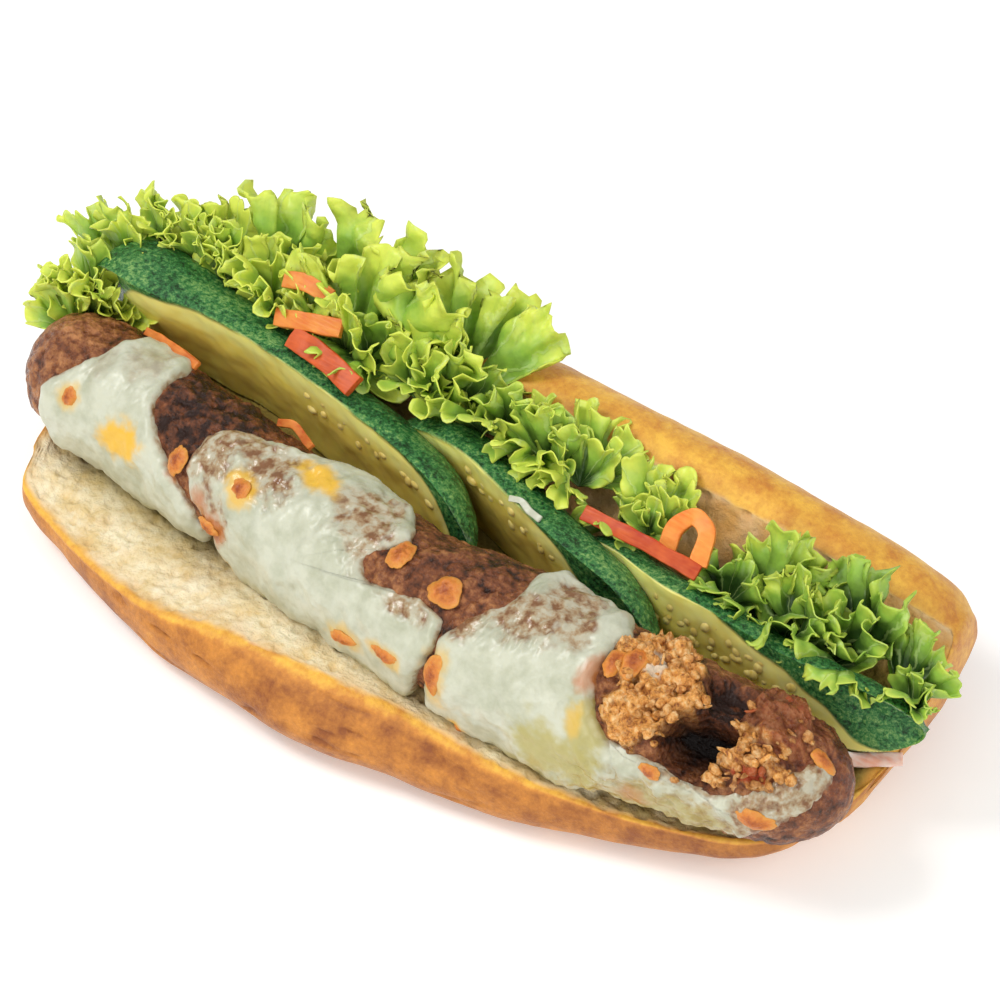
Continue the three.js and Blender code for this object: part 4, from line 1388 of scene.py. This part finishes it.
PATCHES = (
    CheesePatch("melted_left", (
        (-123, 154), (-118, 132), (-111, 102), (-106, 56), (-96, 42), (-88, 58), (-89, 95), (-86, 126),
        (-79, 147), (-71, 162), (-65, 182), (-61, 205), (-64, 232), (-84, 240), (-108, 236), (-120, 200),
    ), (-95, 162), 1.8, 31),
    CheesePatch("melted_middle", (
        (-70, 146), (-70, 118), (-66, 94), (-56, 76), (-44, 66), (-35, 40), (-22, 35), (-12, 38), (-4, 62),
        (0, 88), (-5, 104), (-8, 120), (-5, 133), (3, 132), (12, 127), (19, 132), (21, 146), (20, 160),
        (17, 190), (13, 226), (-8, 240), (-32, 240),
        (-52, 236), (-55, 212), (-60, 185), (-65, 166),
    ), (-28, 152), 1.9, 32),
    CheesePatch("melted_right", (
        (22, 146), (25, 130), (29, 112), (33.5, 92), (33, 66), (36, 45), (46, 35), (57, 48), (64.5, 72),
        (63.5, 97), (63, 115), (64.5, 131), (67.5, 142), (72, 152), (77, 164), (78, 184), (73, 208),
        (65, 228), (52, 242), (34, 244), (19, 232), (18.5, 194), (21.5, 166),
    ), (43, 158), 2.0, 33),
    CheesePatch("melted_end", (
        (67, 156), (76, 152), (84, 158), (92, 165), (100, 167), (106, 153), (112, 140), (116, 112),
        (119.5, 88), (123, 92), (124, 120), (122, 148), (118, 176),
        (110, 200), (98, 214), (84, 222), (72, 218), (66, 190),
    ), (110, 180), 1.2, 34),
)


@dataclass
class ToastedSpots:
    """Blisters of cheese that the grill browned, raised from the surface round them."""

    meat: MeatRoll
    radius: float = 18.0  # the meat roll's usual radius, mm
    top: float = 0.8  # share of the grid that makes the dome
    sunk: float = 0.75  # how far the foot lies below the stated height, mm
    # x, angle in degrees, half length along the roll, half length round it, height above the meat
    spots: tuple[tuple[float, float, float, float, float], ...] = (
        (-112, 148, 2.4, 2.9, 3.2), (0.5, 103, 3.4, 4.6, 1.5), (17, 114, 4.8, 3.8, 1.6),
        (-6.5, 189, 4.2, 2.2, 3.7), (7.5, 178, 4.2, 2.0, 3.5), (23.5, 170, 3.0, 5.4, 3.4),
        (-73, 142, 3.0, 4.6, 2.9), (-50.5, 131, 3.2, 3.2, 2.7), (69.5, 97, 2.8, 4.2, 3.6),
        (65.5, 104, 2.2, 3.4, 3.0), (85, 163, 3.0, 1.9, 2.4), (112.5, 171, 5.0, 2.8, 2.0),
        (120, 92, 3.2, 2.8, 1.6), (-58, 180, 3.6, 2.4, 2.5), (30, 214, 2.0, 1.6, 4.4),
    )

    def build(self, finish: bpy.types.Material) -> bpy.types.Object:
        """Return the dressed blisters as one piece."""
        parts = [self.blister(i, *spot) for i, spot in enumerate(self.spots)]
        whole = joined("toasted_spots", parts)
        settle(whole, finish)
        return whole

    def blister(self, number: int, x: float, degrees: float, long: float, wide: float,
                lift: float) -> bpy.types.Object:
        """Return one low dome that follows the meat roll.

        Args:
            number: Its place in the row of spots.
            x: Its middle along the roll.
            degrees: Its angle round the roll.
            long: Half its length along the roll.
            wide: Half its length round the roll.
            lift: The height of its foot above the meat.

        Returns:
            The blister.
        """
        lumps = Unevenness(60 + number)
        top = self.top

        def place(u: np.ndarray, v: np.ndarray) -> np.ndarray:
            reach = np.where(v < top, v / top, (1 - v) / (1 - top))
            turn = u * 2 * np.pi
            edge = np.stack([np.cos(turn), np.sin(turn), np.zeros(len(u))], axis=1)
            out = reach * (1 + 0.34 * lumps.swell(edge + number, 0.8, 3))
            at = x + long * out * np.cos(turn)
            arc = math.radians(degrees) + wide * out * np.sin(turn) / self.radius
            dome = np.clip(1 - reach ** 2, 0, 1) ** 0.85
            flat = np.stack([at, arc * self.radius, at * 0], axis=1)
            grit = 0.5 * lumps.swell(flat, 1.9, 3) * np.clip(dome * 2, 0, 1)
            foot = lift - self.sunk
            high = foot + 1.45 * dome + grit
            return self.meat.point(at, arc, np.where(v < top, high, foot - 0.8 * dome))

        piece = add_grid(f"spot_{number}", 44, 26, place)
        reach = np.minimum(values_of(piece, "v") / top, 1.0)
        put_values(piece, "rim", 0.02 + 0.5 * reach ** 1.6)
        close_seams(piece)
        return piece


# Pickled cucumber

@dataclass
class Pickle:
    """A long half-round slice of pickled cucumber on edge, cut face to the front."""

    name: str
    stations: np.ndarray  # x, cut face y, middle z, radius, forward lean, depth over radius
    rind: np.ndarray  # x, share of the radius above which the skin wraps over the cut face
    seed_rows: tuple[float, ...]
    seed_gap: tuple[float, float]
    seed_span: tuple[float, float]
    # how strongly the browner seed core shows, spread over the lower cut face as painted shade
    core: float
    seed: int
    around: int = 116
    steps: int = 240
    tip: float = 20.0  # length of each rounded end
    skin_share: float = 0.56  # share of the grid's width that makes the skin

    def frame(self, x: np.ndarray) -> tuple[np.ndarray, ...]:
        """Return cut face y, middle z, radius, lean and depth share at each x."""
        face_y, middle_z, radius, lean, deep = (along(self.stations, c, x) for c in range(1, 6))
        left, right = self.stations[0, 0], self.stations[-1, 0]
        return face_y, middle_z, radius * end_round(x, left, right, self.tip, 0.0), lean, deep

    def spot(self, x: np.ndarray, back: np.ndarray, high: np.ndarray) -> np.ndarray:
        """Return points at a distance behind the cut face and above its middle line."""
        face_y, middle_z, _, lean, _ = self.frame(x)
        y = face_y + back * np.cos(lean) - high * np.sin(lean)
        return np.stack([x, y, middle_z + high * np.cos(lean) + back * np.sin(lean)], axis=1)

    def build(self, finish: bpy.types.Material) -> bpy.types.Object:
        """Return the dressed slice."""
        lumps = Unevenness(self.seed)
        left, right = self.stations[0, 0], self.stations[-1, 0]
        skin_share = self.skin_share

        def flat(u: np.ndarray, v: np.ndarray) -> tuple[np.ndarray, np.ndarray, np.ndarray]:
            x = left + (right - left) * (0.6 * v + 0.2 * (1 - np.cos(np.pi * v)))
            _, _, radius, _, deep = self.frame(x)
            turn = (u / skin_share - 0.5) * np.pi
            on_skin = u <= skin_share
            fall = (u - skin_share) / (1 - skin_share)
            back = np.where(on_skin, np.cos(turn) * radius * deep, 0.0)
            high = np.where(on_skin, np.sin(turn) * radius, radius * (1 - 2 * fall))
            over = np.clip(high / (radius + 1e-6) - along(self.rind, 1, x), 0, 2)
            wrap = np.minimum(2.2 * over ** 1.5, 2.5) * (1 - np.abs(1 - 2 * fall) ** 4)
            return x, back + np.where(on_skin, 0.0, wrap), high

        def place(u: np.ndarray, v: np.ndarray) -> np.ndarray:
            return self.spot(*flat(u, v))

        piece = add_grid(self.name, self.around, self.steps, place)
        u, v = values_of(piece, "u"), values_of(piece, "v")
        x, _, high = flat(u, v)
        share = high / (self.frame(x)[2] + 1e-6)
        start = points_of(piece)
        wander = 0.05 * lumps.swell(start, 9.0, 2)
        wrapped = ease(-0.04, 0.06, share - along(self.rind, 1, x) + wander)
        put_values(piece, "skin", np.where(u <= skin_share, 1.0, wrapped))
        # core: the browner seed core, spread over the whole lower part of the cut face as painted shade
        below = np.clip(along(self.rind, 1, x), -1, 1) - share
        put_values(piece, "core", np.where(u > skin_share, self.core * ease(0.08, 0.95, below + wander), 0.0))
        close_seams(piece)
        points = points_of(piece)
        skin = values_of(piece, "skin")
        core = values_of(piece, "core")
        bumps = 0.5 * lumps.swell(points, 14.0, 2) + 0.2 * skin * lumps.swell(points, 2.4, 2)
        bumps = bumps + (1 - skin) * (0.4 * lumps.swell(points, 7.0, 2) - 0.6 * core)
        raise_by(piece, bumps)
        settle(piece, finish, (self.name.replace("cucumber", "pickle"),))
        return piece

    def seeds(self, chance: np.random.Generator) -> list[bpy.types.Object]:
        """Return the soft seeds that show in the cut face, each its own mesh."""
        made = []
        for row in self.seed_rows:
            x = self.seed_span[0]
            while x < self.seed_span[1]:
                x += chance.uniform(*self.seed_gap)
                radius = float(self.frame(np.array([x]))[2][0])
                share = row + chance.uniform(-0.12, 0.12)
                if share > float(along(self.rind, 1, np.array([x]))[0]) - 0.25:
                    continue
                high = radius * share
                deselect()
                bpy.ops.mesh.primitive_uv_sphere_add(segments=10, ring_count=6, radius=1.0)
                piece = bpy.context.active_object
                drop_uv(piece)
                shape = points_of(piece) * MM
                size = chance.uniform(0.85, 1.35)
                tilt = chance.uniform(-0.9, 0.9) + 1.1
                along_x = shape[:, 0] * 1.8 * size
                across = shape[:, 1] * 1.25 * size
                back = shape[:, 2] * 0.9 * size + chance.uniform(0.3, 0.9)
                run, rise = turned(along_x, across, tilt)
                set_points(piece, self.spot(x + run, back, high + rise))
                made.append(piece)
        return made


CUCUMBERS = (
    Pickle("cucumber_left", np.array([
        [-133, 13, 47, 14, 0.4, 1.3], [-111, 9.8, 44.5, 16, 0.3, 1.26], [-94, 12, 42, 16.5, 0.2, 1.03],
        [-76, 11.9, 41, 16, 0.2, 0.95], [-50, 8.4, 39.5, 16, 0.14, 0.88], [-24, 3.6, 39, 15.5, 0.12, 0.86],
        [-8, -1, 38, 15, 0.1, 0.86], [5, -5, 37, 14, 0.1, 0.86]], dtype=float),
        np.array([[-133, -1.3], [-127, -1.1], [-121, 0.1], [-113, 0.75], [-60, 0.98], [-30, 0.92], [-8, 0.6],
                  [-1, -0.4], [5, -1.2]], dtype=float),
        (0.45, 0.2), (4.0, 9.0), (-66, -12), 0.3, 41),
    Pickle("cucumber_middle", np.array([
        [-36, 16, 38, 14, 0.16, 0.9], [-8, 12, 39.5, 15.5, 0.16, 0.9], [12, 6.5, 38.5, 15.5, 0.16, 0.88],
        [31, 1.5, 38, 15, 0.14, 0.86], [49, -2, 36, 14.5, 0.1, 0.86], [62, -4, 34, 13, 0.1, 0.86]],
        dtype=float),
        np.array([[-36, 0.8], [-20, 0.95], [0, 1.0], [22, 0.9], [34, 0.45], [44, -0.3], [50, -1.2],
                  [62, -1.3]], dtype=float),
        (0.5, 0.25), (3.5, 8.0), (-12, 26), 0.45, 42),
    Pickle("cucumber_right", np.array([
        [26, 14, 36, 12, 0.03, 0.82], [54, 6, 36, 14, 0.03, 0.82], [72, 5, 36.5, 14, 0.03, 0.82],
        [91, 4, 36.5, 14, 0.03, 0.82], [107, 4.5, 37, 13, 0.03, 0.82], [120, 7, 37.5, 11.5, 0.03, 0.85],
        [132, 11, 38, 9, 0.03, 0.9]], dtype=float),
        np.array([[26, 1.1], [66, 1.1], [80, 0.82], [92, 0.6], [100, 0.34], [108, 0.0], [116, -0.7],
                  [132, -1.3]], dtype=float),
        (0.5, 0.3, 0.08, -0.14), (2.8, 5.6), (52, 100), 0.26, 43),
)


# Lettuce

@dataclass(frozen=True)
class Row:
    """One row of leaves in a bunch, relative to the bunch's own line."""

    count: int
    forward: float  # how far the feet stand in front of the line, mm
    rise: float  # how far they stand above it, mm
    reach: float  # length as a share of the bunch's
    lean: float  # degrees added to the bunch's lean
    curl: float  # degrees that a leaf bends over towards the front
    spread: float = 64.0  # half the angle that a leaf fans out to


@dataclass
class LettuceBunch:
    """Frilly leaves that fan out from one line in overlapping rows."""

    name: str
    node: str  # the plain solid that it stands for, if there is one
    stations: np.ndarray  # x, foot y, foot z, length, lean in degrees above level
    rows: Sequence[Row]
    seed: int
    deeper: float = 0.0  # painted shade: how much greener and darker its leaves are painted, lighter where negative
    across: int = 132
    down: int = 26
    thick: float = 0.32
    frill: float = 14.0  # length of a main wave along the edge, mm
    sway: float = 26.0  # how far a leaf may turn either way, degrees

    def build(self, finish: bpy.types.Material) -> bpy.types.Object:
        """Return the dressed bunch as one piece."""
        chance = np.random.default_rng(self.seed)
        left, right = self.stations[0, 0], self.stations[-1, 0]
        line = np.stack([along(self.stations, c, np.linspace(left, right, 200)) for c in (0, 1, 2)], axis=1)
        run = np.concatenate([[0], np.cumsum(np.linalg.norm(np.diff(line, axis=0), axis=1))])
        parts = []
        for row in self.rows:
            for i in range(row.count):
                share = (i + 0.5 + chance.uniform(-0.3, 0.3)) / row.count
                foot_x = float(np.interp(share * run[-1], run, line[:, 0]))
                parts.append(self.leaf(len(parts), foot_x, row, chance))
        whole = joined(self.name, parts)
        settle(whole, finish, (self.node,) if self.node else ())
        return whole

    def leaf(self, number: int, foot_x: float, row: Row, chance: np.random.Generator) -> bpy.types.Object:
        """Return one ruffled leaf with its thickness.

        Args:
            number: Its place in the bunch.
            foot_x: Where it grows from.
            row: The row that it stands in.
            chance: The source of its turn and size.

        Returns:
            The leaf.
        """
        lumps = Unevenness(self.seed * 20 + number)
        foot_y, foot_z, length, lean = (
            float(along(self.stations, c, np.array([foot_x]))[0]) for c in range(1, 5))
        reach = max(length * row.reach * chance.uniform(0.98, 1.12), 8.0)
        ends = 0.4 * reach
        foot_x = min(max(foot_x, self.stations[0, 0] + ends), self.stations[-1, 0] - ends)
        tilt = math.radians(chance.uniform(-self.sway, self.sway))
        yaw = math.radians(chance.uniform(-self.sway, self.sway))
        start = math.radians(lean + row.lean + chance.uniform(-7, 7))
        bend = math.radians(row.curl * chance.uniform(0.6, 1.3) + 1.0) / reach
        spread = math.radians(row.spread)
        phase = chance.uniform(0, 6.28)
        size = 1.2 + 0.1 * reach
        frill = self.frill * (0.62 + 0.014 * reach)

        def place(u: np.ndarray, v: np.ndarray) -> np.ndarray:
            fan = (2 * u - 1) * spread
            rim = np.stack([fan * reach, fan * 0, fan * 0 + 9.0 * number], axis=1)
            ends = np.sqrt(np.clip(np.minimum(u, 1 - u) / 0.2, 0, 1))
            lobes = 1 + 0.42 * lumps.swell(rim, 10.0, 2)
            notch = np.abs(np.sin(fan * reach * 1.15 + 2.0 * lumps.swell(rim + 17, 5.0, 2)))
            teeth = (3.2 * lumps.swell(rim + 7, 3.6, 2) + 1.8 * (notch - 0.6)) * v ** 5
            far = reach * lobes * (0.3 + 0.7 * ends) * v + teeth * ends
            slow = lumps.swell(rim + 21, 22.0, 1)
            place_on = np.stack([far * np.sin(fan), far * np.cos(fan), far * 0 + 3.0 * number], axis=1)
            twist = 2.6 * v * lumps.swell(place_on + 60, 13.0, 2)
            first = phase + 2 * np.pi * (fan * reach / frill + 0.7 * slow) + twist
            second = first * 2.45 + 2.4 * lumps.swell(rim + 31, 11.0, 1)
            third = first * 5.7 + 3.0 * lumps.swell(rim + 51, 6.0, 1)
            wave_1 = size * (0.8 + 0.7 * slow) * v ** 1.6
            wave_2 = 0.42 * size * v ** 2.6
            wave_3 = 0.2 * size * v ** 7
            off = wave_1 * np.sin(first) + wave_2 * np.sin(second) + wave_3 * np.sin(third)
            off = off + (0.8 + 0.035 * reach) * v * lumps.swell(place_on, 7.0, 2)
            off = off + 0.16 * reach * (fan / spread) ** 2 * v
            slip = -0.15 * frill * v ** 1.8 * np.sin(2 * first)
            slip = slip - 0.055 * frill * v ** 3.5 * np.sin(2 * second)
            tuck = 0.35 * wave_1 * v * np.cos(2 * first)
            tuck = tuck - 0.6 * wave_2 * np.cos(second) - wave_3 * np.cos(third)
            out = far - np.abs(tuck) * 0.4 - tuck * 0.6
            side = out * np.sin(fan) + slip * np.cos(fan)
            grow = out * np.cos(fan) - slip * np.sin(fan)
            side, grow = turned(side, grow, tilt)
            turn = start + bend * grow
            y = (np.sin(turn) - math.sin(start)) / bend - off * np.sin(turn)
            z = (math.cos(start) - np.cos(turn)) / bend + off * np.cos(turn)
            x, y = turned(side, y, yaw)
            return np.stack([foot_x + x, foot_y - row.forward + y, foot_z + row.rise + z], axis=1)

        piece = add_grid(f"{self.name}_{number}", self.across, self.down, place)
        u, v = values_of(piece, "u"), values_of(piece, "v")
        # edge: the paler frill towards the rim is the leaf's own colour; the darkening towards each leaf's
        # foot and the whole bunch's darkening are painted shade
        tone = chance.uniform(-0.05, 0.05) - self.deeper
        put_values(piece, "edge", 0.03 + 0.46 * v ** 1.6 + tone)
        put_values(piece, "span", (2 * u - 1) * 26.0)
        modify(piece, "SOLIDIFY", {"thickness": self.thick * MM, "offset": 0.0, "use_rim": True})
        return piece


LEAVES = (
    LettuceBunch("leaves_back_left", "lettuce_back_left", np.array([
        [-134, 30, 50, 11, 62], [-118, 32, 52, 13, 60], [-106, 32, 52, 14, 56], [-84, 28.5, 48, 29, 52],
        [-62, 27, 45.5, 38, 50], [-46.5, 27, 45.5, 34, 49]], dtype=float), (
        Row(4, 0.0, 0.0, 1.05, 0, 10), Row(4, 3.0, 1.0, 0.84, 6, 26),
        Row(4, 5.5, 2.5, 0.6, 20, 55)), 51, -0.02),
    LettuceBunch("leaves_front_left", "lettuce_front_left", np.array([
        [-138, 1, 41, 11, 74], [-136, 7, 42.5, 14, 72], [-131, 16, 45, 16, 68], [-124, 26, 50, 13, 72],
        [-108, 29, 52, 12, 80], [-86, 27.5, 50, 13, 78], [-62, 25.5, 48.5, 14, 78]], dtype=float), (
        Row(7, 0.0, 0.0, 1.1, 0, 16), Row(5, 1.5, 1.0, 0.95, 22, 40)), 52, -0.03),
    LettuceBunch("leaves_tip", "", np.array([
        [-140, -1, 33, 16, 72], [-133, 5, 32, 17, 78], [-121, 9, 30, 17, 84]], dtype=float), (
        Row(3, 0.0, 0.0, 1.0, 0, 18), Row(2, -3.0, 3.0, 1.0, 6, 26)), 56, -0.05),
    LettuceBunch("leaves_back_middle", "lettuce_back_middle", np.array([
        [-41, 27, 45.5, 33, 49], [-28, 27, 45.5, 29, 49], [-15, 27, 45.5, 18, 49], [-4, 27, 45.5, 12, 46],
        [8, 27, 45.5, 14, 44], [22, 27, 45.5, 17, 42],
        [38, 26, 44, 16, 42], [48, 25, 43, 11, 44]], dtype=float), (
        Row(4, 0.0, 0.0, 1.05, 0, 8), Row(4, 3.0, 1.0, 0.84, 6, 26),
        Row(4, 5.0, 2.5, 0.62, 20, 50)), 53, 0.03),
    LettuceBunch("leaves_front_middle", "lettuce_front_middle", np.array([
        [-57, 25.5, 49, 14, 76], [-30, 25, 48.5, 17, 70], [-10, 25, 48, 18, 68], [10, 24, 46, 17, 68],
        [28, 22.5, 43, 16, 68], [43, 20.5, 40, 13, 70]], dtype=float), (
        Row(5, 0.0, 0.0, 1.0, 0, 20), Row(6, 1.5, 1.0, 0.95, 30, 60)), 54, 0.05),
    LettuceBunch("leaves_right", "lettuce_right", np.array([
        [61, 19.5, 37, 9, 56], [69, 19.5, 36.5, 19, 52], [82, 19, 36, 23, 50], [100, 18.5, 36, 25, 48],
        [114, 19, 36, 22, 48], [122, 19, 36, 16, 46], [130, 17, 35.5, 9, 42]], dtype=float), (
        Row(4, 0.0, 0.0, 1.0, 0, 12), Row(4, 2.5, 1.0, 0.84, 8, 34),
        Row(4, 4.5, 3.5, 0.75, 42, 80)), 55, 0.12),
)


# Carrot and radish strips

@dataclass
class Strip:
    """A flat bent strip of root or a thread of cheese, square with soft edges."""

    name: str
    node: str  # the plain solid that it stands for, if there is one
    slot: str
    path: np.ndarray
    wide: float
    thick: float
    facing: tuple[float, float, float] = (0.2, -0.6, 0.77)
    cap: float = 0.04  # share of the length that rounds off each end
    square: float = 0.24  # how square the section is, 1 being round

    def line(self, t: np.ndarray) -> np.ndarray:
        """Return points on the smooth line through the path, t from 0 to 1."""
        knots = self.path
        steps = np.linalg.norm(np.diff(knots, axis=0), axis=1) ** 0.5
        at = np.concatenate([[0], np.cumsum(steps)])
        table = np.column_stack([at / at[-1], knots])
        return np.stack([along(table, c, t) for c in (1, 2, 3)], axis=1)

    def build(self, finish: bpy.types.Material) -> bpy.types.Object:
        """Return the dressed strip."""
        lumps = Unevenness(90 + len(self.name))
        facing = np.array(self.facing) / np.linalg.norm(self.facing)

        def place(u: np.ndarray, v: np.ndarray) -> np.ndarray:
            cap = self.cap
            body = np.clip((v - cap) / (1 - 2 * cap), 0, 1)
            over = np.clip(np.maximum(cap - v, v - 1 + cap) / cap, 0, 1)
            middle = self.line(body)
            run = self.line(np.clip(body + 0.01, 0, 1)) - self.line(np.clip(body - 0.01, 0, 1))
            run /= np.linalg.norm(run, axis=1, keepdims=True)
            side = np.cross(run, facing)
            side /= np.linalg.norm(side, axis=1, keepdims=True)
            top = np.cross(side, run)
            turn = u * 2 * np.pi
            a = np.sign(np.cos(turn)) * np.abs(np.cos(turn)) ** self.square
            b = np.sign(np.sin(turn)) * np.abs(np.sin(turn)) ** self.square
            shrink = np.sqrt(np.clip(1 - over ** 3, 0, 1))
            wide = self.wide / 2 * (1 + 0.08 * lumps.swell(middle, 8.0, 2))
            flat = middle + side * (a * wide * shrink)[:, None] + top * (b * self.thick / 2 * shrink)[:, None]
            return flat + run * (over * 0.3 * np.where(v < 0.5, -1, 1))[:, None]

        piece = add_grid(self.name, 48, 90, place)
        close_seams(piece)
        points = points_of(piece)
        raise_by(piece, 0.08 * lumps.swell(points, 1.6, 2) + 0.3 * lumps.swell(points + 40, 5.0, 1))
        settle(piece, finish, (self.node,) if self.node else ())
        return piece


STRIPS = (
    (RootFinish("cut_carrot", "#e2923e", "#d06626"),
     Strip("carrot_strip_upper", "carrot_left_upper", "carrot", np.array(
         [[-74, 17, 60.5], [-65, 18.5, 62.5], [-55, 20.5, 64]], dtype=float), 5, 2.4)),
    (RootFinish("red_carrot", "#d9632a", "#b0451c"),
     Strip("carrot_strip_lower", "carrot_left_lower", "carrot", np.array(
         [[-67, 14.6, 59], [-55, 12.6, 59.6], [-43, 9.6, 58.6]], dtype=float), 6.4, 2.4)),
    (RootFinish("pale_carrot", "#e59b4c", "#d8702e"),
     Strip("carrot_strip_back", "carrot_back", "carrot", np.array(
         [[-78, 26, 65], [-71, 27, 66.5], [-64, 27.5, 65]], dtype=float), 4.6, 2)),
    (RootFinish("bright_carrot", "#d2602a", "#b03210"),
     Strip("carrot_strip_long", "carrot_long", "carrot", np.array(
         [[28, 13, 52], [40, 12.5, 52.8], [52, 13, 52], [62, 14, 50]], dtype=float), 4.2, 2.4)),
    (RootFinish("orange_carrot", "#fba24a", "#ea7c30"),
     Strip("carrot_strip_loop", "carrot_loop", "carrot", np.array(
         [[51, 16, 48], [50, 21, 53], [54, 24, 57], [59, 22, 56], [61, 15.5, 51]], dtype=float), 4.6, 2.4)),
    (RootFinish("white_radish", "#efe6dc", "#e4a58c"),
     Strip("radish_stick", "radish_strip", "radish", np.array(
         [[104, 1, 21.5], [115, 6, 22], [126, 12, 24]], dtype=float), 3.6, 2.4)),
)


# Fine shavings that lie on the meat: x, angle in degrees and height above its surface
SHAVINGS = (
    ((-109, 46, 1.6), (-101, 52, 2.6), (-94, 56, 2.8), (-88, 58, 2.0)),
    ((-60, 36, 1.6), (-55, 38, 2.8), (-50, 42, 2.4), (-45, 50, 1.6)),
    ((-99, 40, 1.2), (-95, 46, 2.4), (-90, 47, 1.4)),
)


# A thread of cheese on the middle pickle, as points in millimetres
CHEESE_THREAD = ((11.0, 3.8, 54.6), (14.0, 4.6, 54.8), (17.5, 3.4, 54.4), (21.0, 3.0, 53.8))


# Camera, floor and light

@dataclass
class Studio:
    """The photograph's camera, a pale floor and soft light."""

    azimuth: float = 36.0
    elevation: float = 47.0
    distance: float = 1100.0
    target: tuple[float, float, float] = (0.0, 0.0, 28.0)
    lens: float = 152.46
    shift: tuple[float, float] = (0.034, 0.06)
    room: float = 0.57  # strength of the light from all round
    # Each lamp's place in metres, width in metres and power in watts
    lamps: tuple[tuple[tuple[float, float, float], float, float], ...] = (
        ((-0.5, -0.35, 1.0), 0.4, 6.0), ((0.25, -1.0, 0.55), 0.5, 3.3), ((0.8, -0.1, 0.8), 0.5, 3.0))

    def add_camera(self) -> None:
        """Place the camera at the photograph's viewing angle."""
        a, e = math.radians(self.azimuth), math.radians(self.elevation)
        back = Vector((math.sin(a) * math.cos(e), -math.cos(a) * math.cos(e), math.sin(e)))
        place = (Vector(self.target) + back * self.distance) * MM
        bpy.ops.object.camera_add(location=place, rotation=(math.pi / 2 - e, 0, a))
        camera = bpy.context.active_object
        camera.data.lens = self.lens
        camera.data.sensor_fit = "HORIZONTAL"
        camera.data.shift_x, camera.data.shift_y = self.shift
        camera.data.clip_end = 10.0
        bpy.context.scene.camera = camera

    def add_floor(self, finish: bpy.types.Material) -> None:
        """Lay the pale floor that isn't part of the sandwich."""
        deselect()
        bpy.ops.mesh.primitive_plane_add(size=6.0, location=(0, 0, -0.0002))
        floor = bpy.context.active_object
        floor.name = "floor"
        floor.data.materials.append(finish)

    def add_lamp(self, place: tuple[float, float, float], size: float, power: float) -> None:
        """Hang one soft square lamp that faces the sandwich, its place in metres."""
        aim = (Vector((0, 0, 0.03)) - Vector(place)).to_track_quat("-Z", "Y").to_euler()
        bpy.ops.object.light_add(type="AREA", location=place, rotation=aim)
        lamp = bpy.context.active_object
        lamp.data.size = size
        lamp.data.energy = power

    def add_light(self) -> None:
        """Light the scene softly from all round, a little more from the upper left."""
        world = bpy.context.scene.world or bpy.data.worlds.new("room")
        bpy.context.scene.world = world
        world.use_nodes = True
        room = world.node_tree.nodes["Background"]
        room.inputs["Color"].default_value = (1.0, 1.0, 1.0, 1.0)
        room.inputs["Strength"].default_value = self.room
        for lamp in self.lamps:
            self.add_lamp(*lamp)
        bpy.context.scene.view_settings.view_transform = "Standard"


def main() -> None:
    """Build the sandwich from the bread outwards and report each piece."""
    studio = Studio()
    studio.add_camera()
    meat = MeatRoll()
    roll = Roll()
    roll.build(meat, BreadFinish().build())
    mince = MeatFinish().build()
    meat.build(mince)
    TornShreds(meat).build(mince)
    cheese = CheeseFinish().build()
    for patch in PATCHES:
        patch.build(meat, cheese)
    ToastedSpots(meat).build(SpotFinish().build())
    pickled = PickleFinish().build()
    chance = np.random.default_rng(SEED_DRAW)
    seeds = []
    for slice_ in CUCUMBERS:
        slice_.build(pickled)
        seeds += slice_.seeds(chance)
    settle(joined("cucumber_seeds", seeds), SeedFinish().build())
    leaf = LeafFinish().build()
    for bunch in LEAVES:
        bunch.build(leaf)
    for finish, strip in STRIPS:
        strip.build(finish.build())
    shaved = RootFinish("shaved_carrot", "#e08a3c", "#b9501c").build()
    for i, rows in enumerate(SHAVINGS):
        spots = np.array(rows, dtype=float)
        path = meat.point(spots[:, 0], np.radians(spots[:, 1]), spots[:, 2])
        Strip(f"shaving_{i + 1}", "", "carrot", path, 2.2, 1.3).build(shaved)
    Strip("cheese_thread", "", "cheese", np.array(CHEESE_THREAD), 1.7, 1.1).build(cheese)
    studio.add_floor(FloorFinish().build())
    studio.add_light()


if __name__ == "__main__":
    logging.basicConfig(level=logging.INFO, format="%(message)s")
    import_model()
    main()
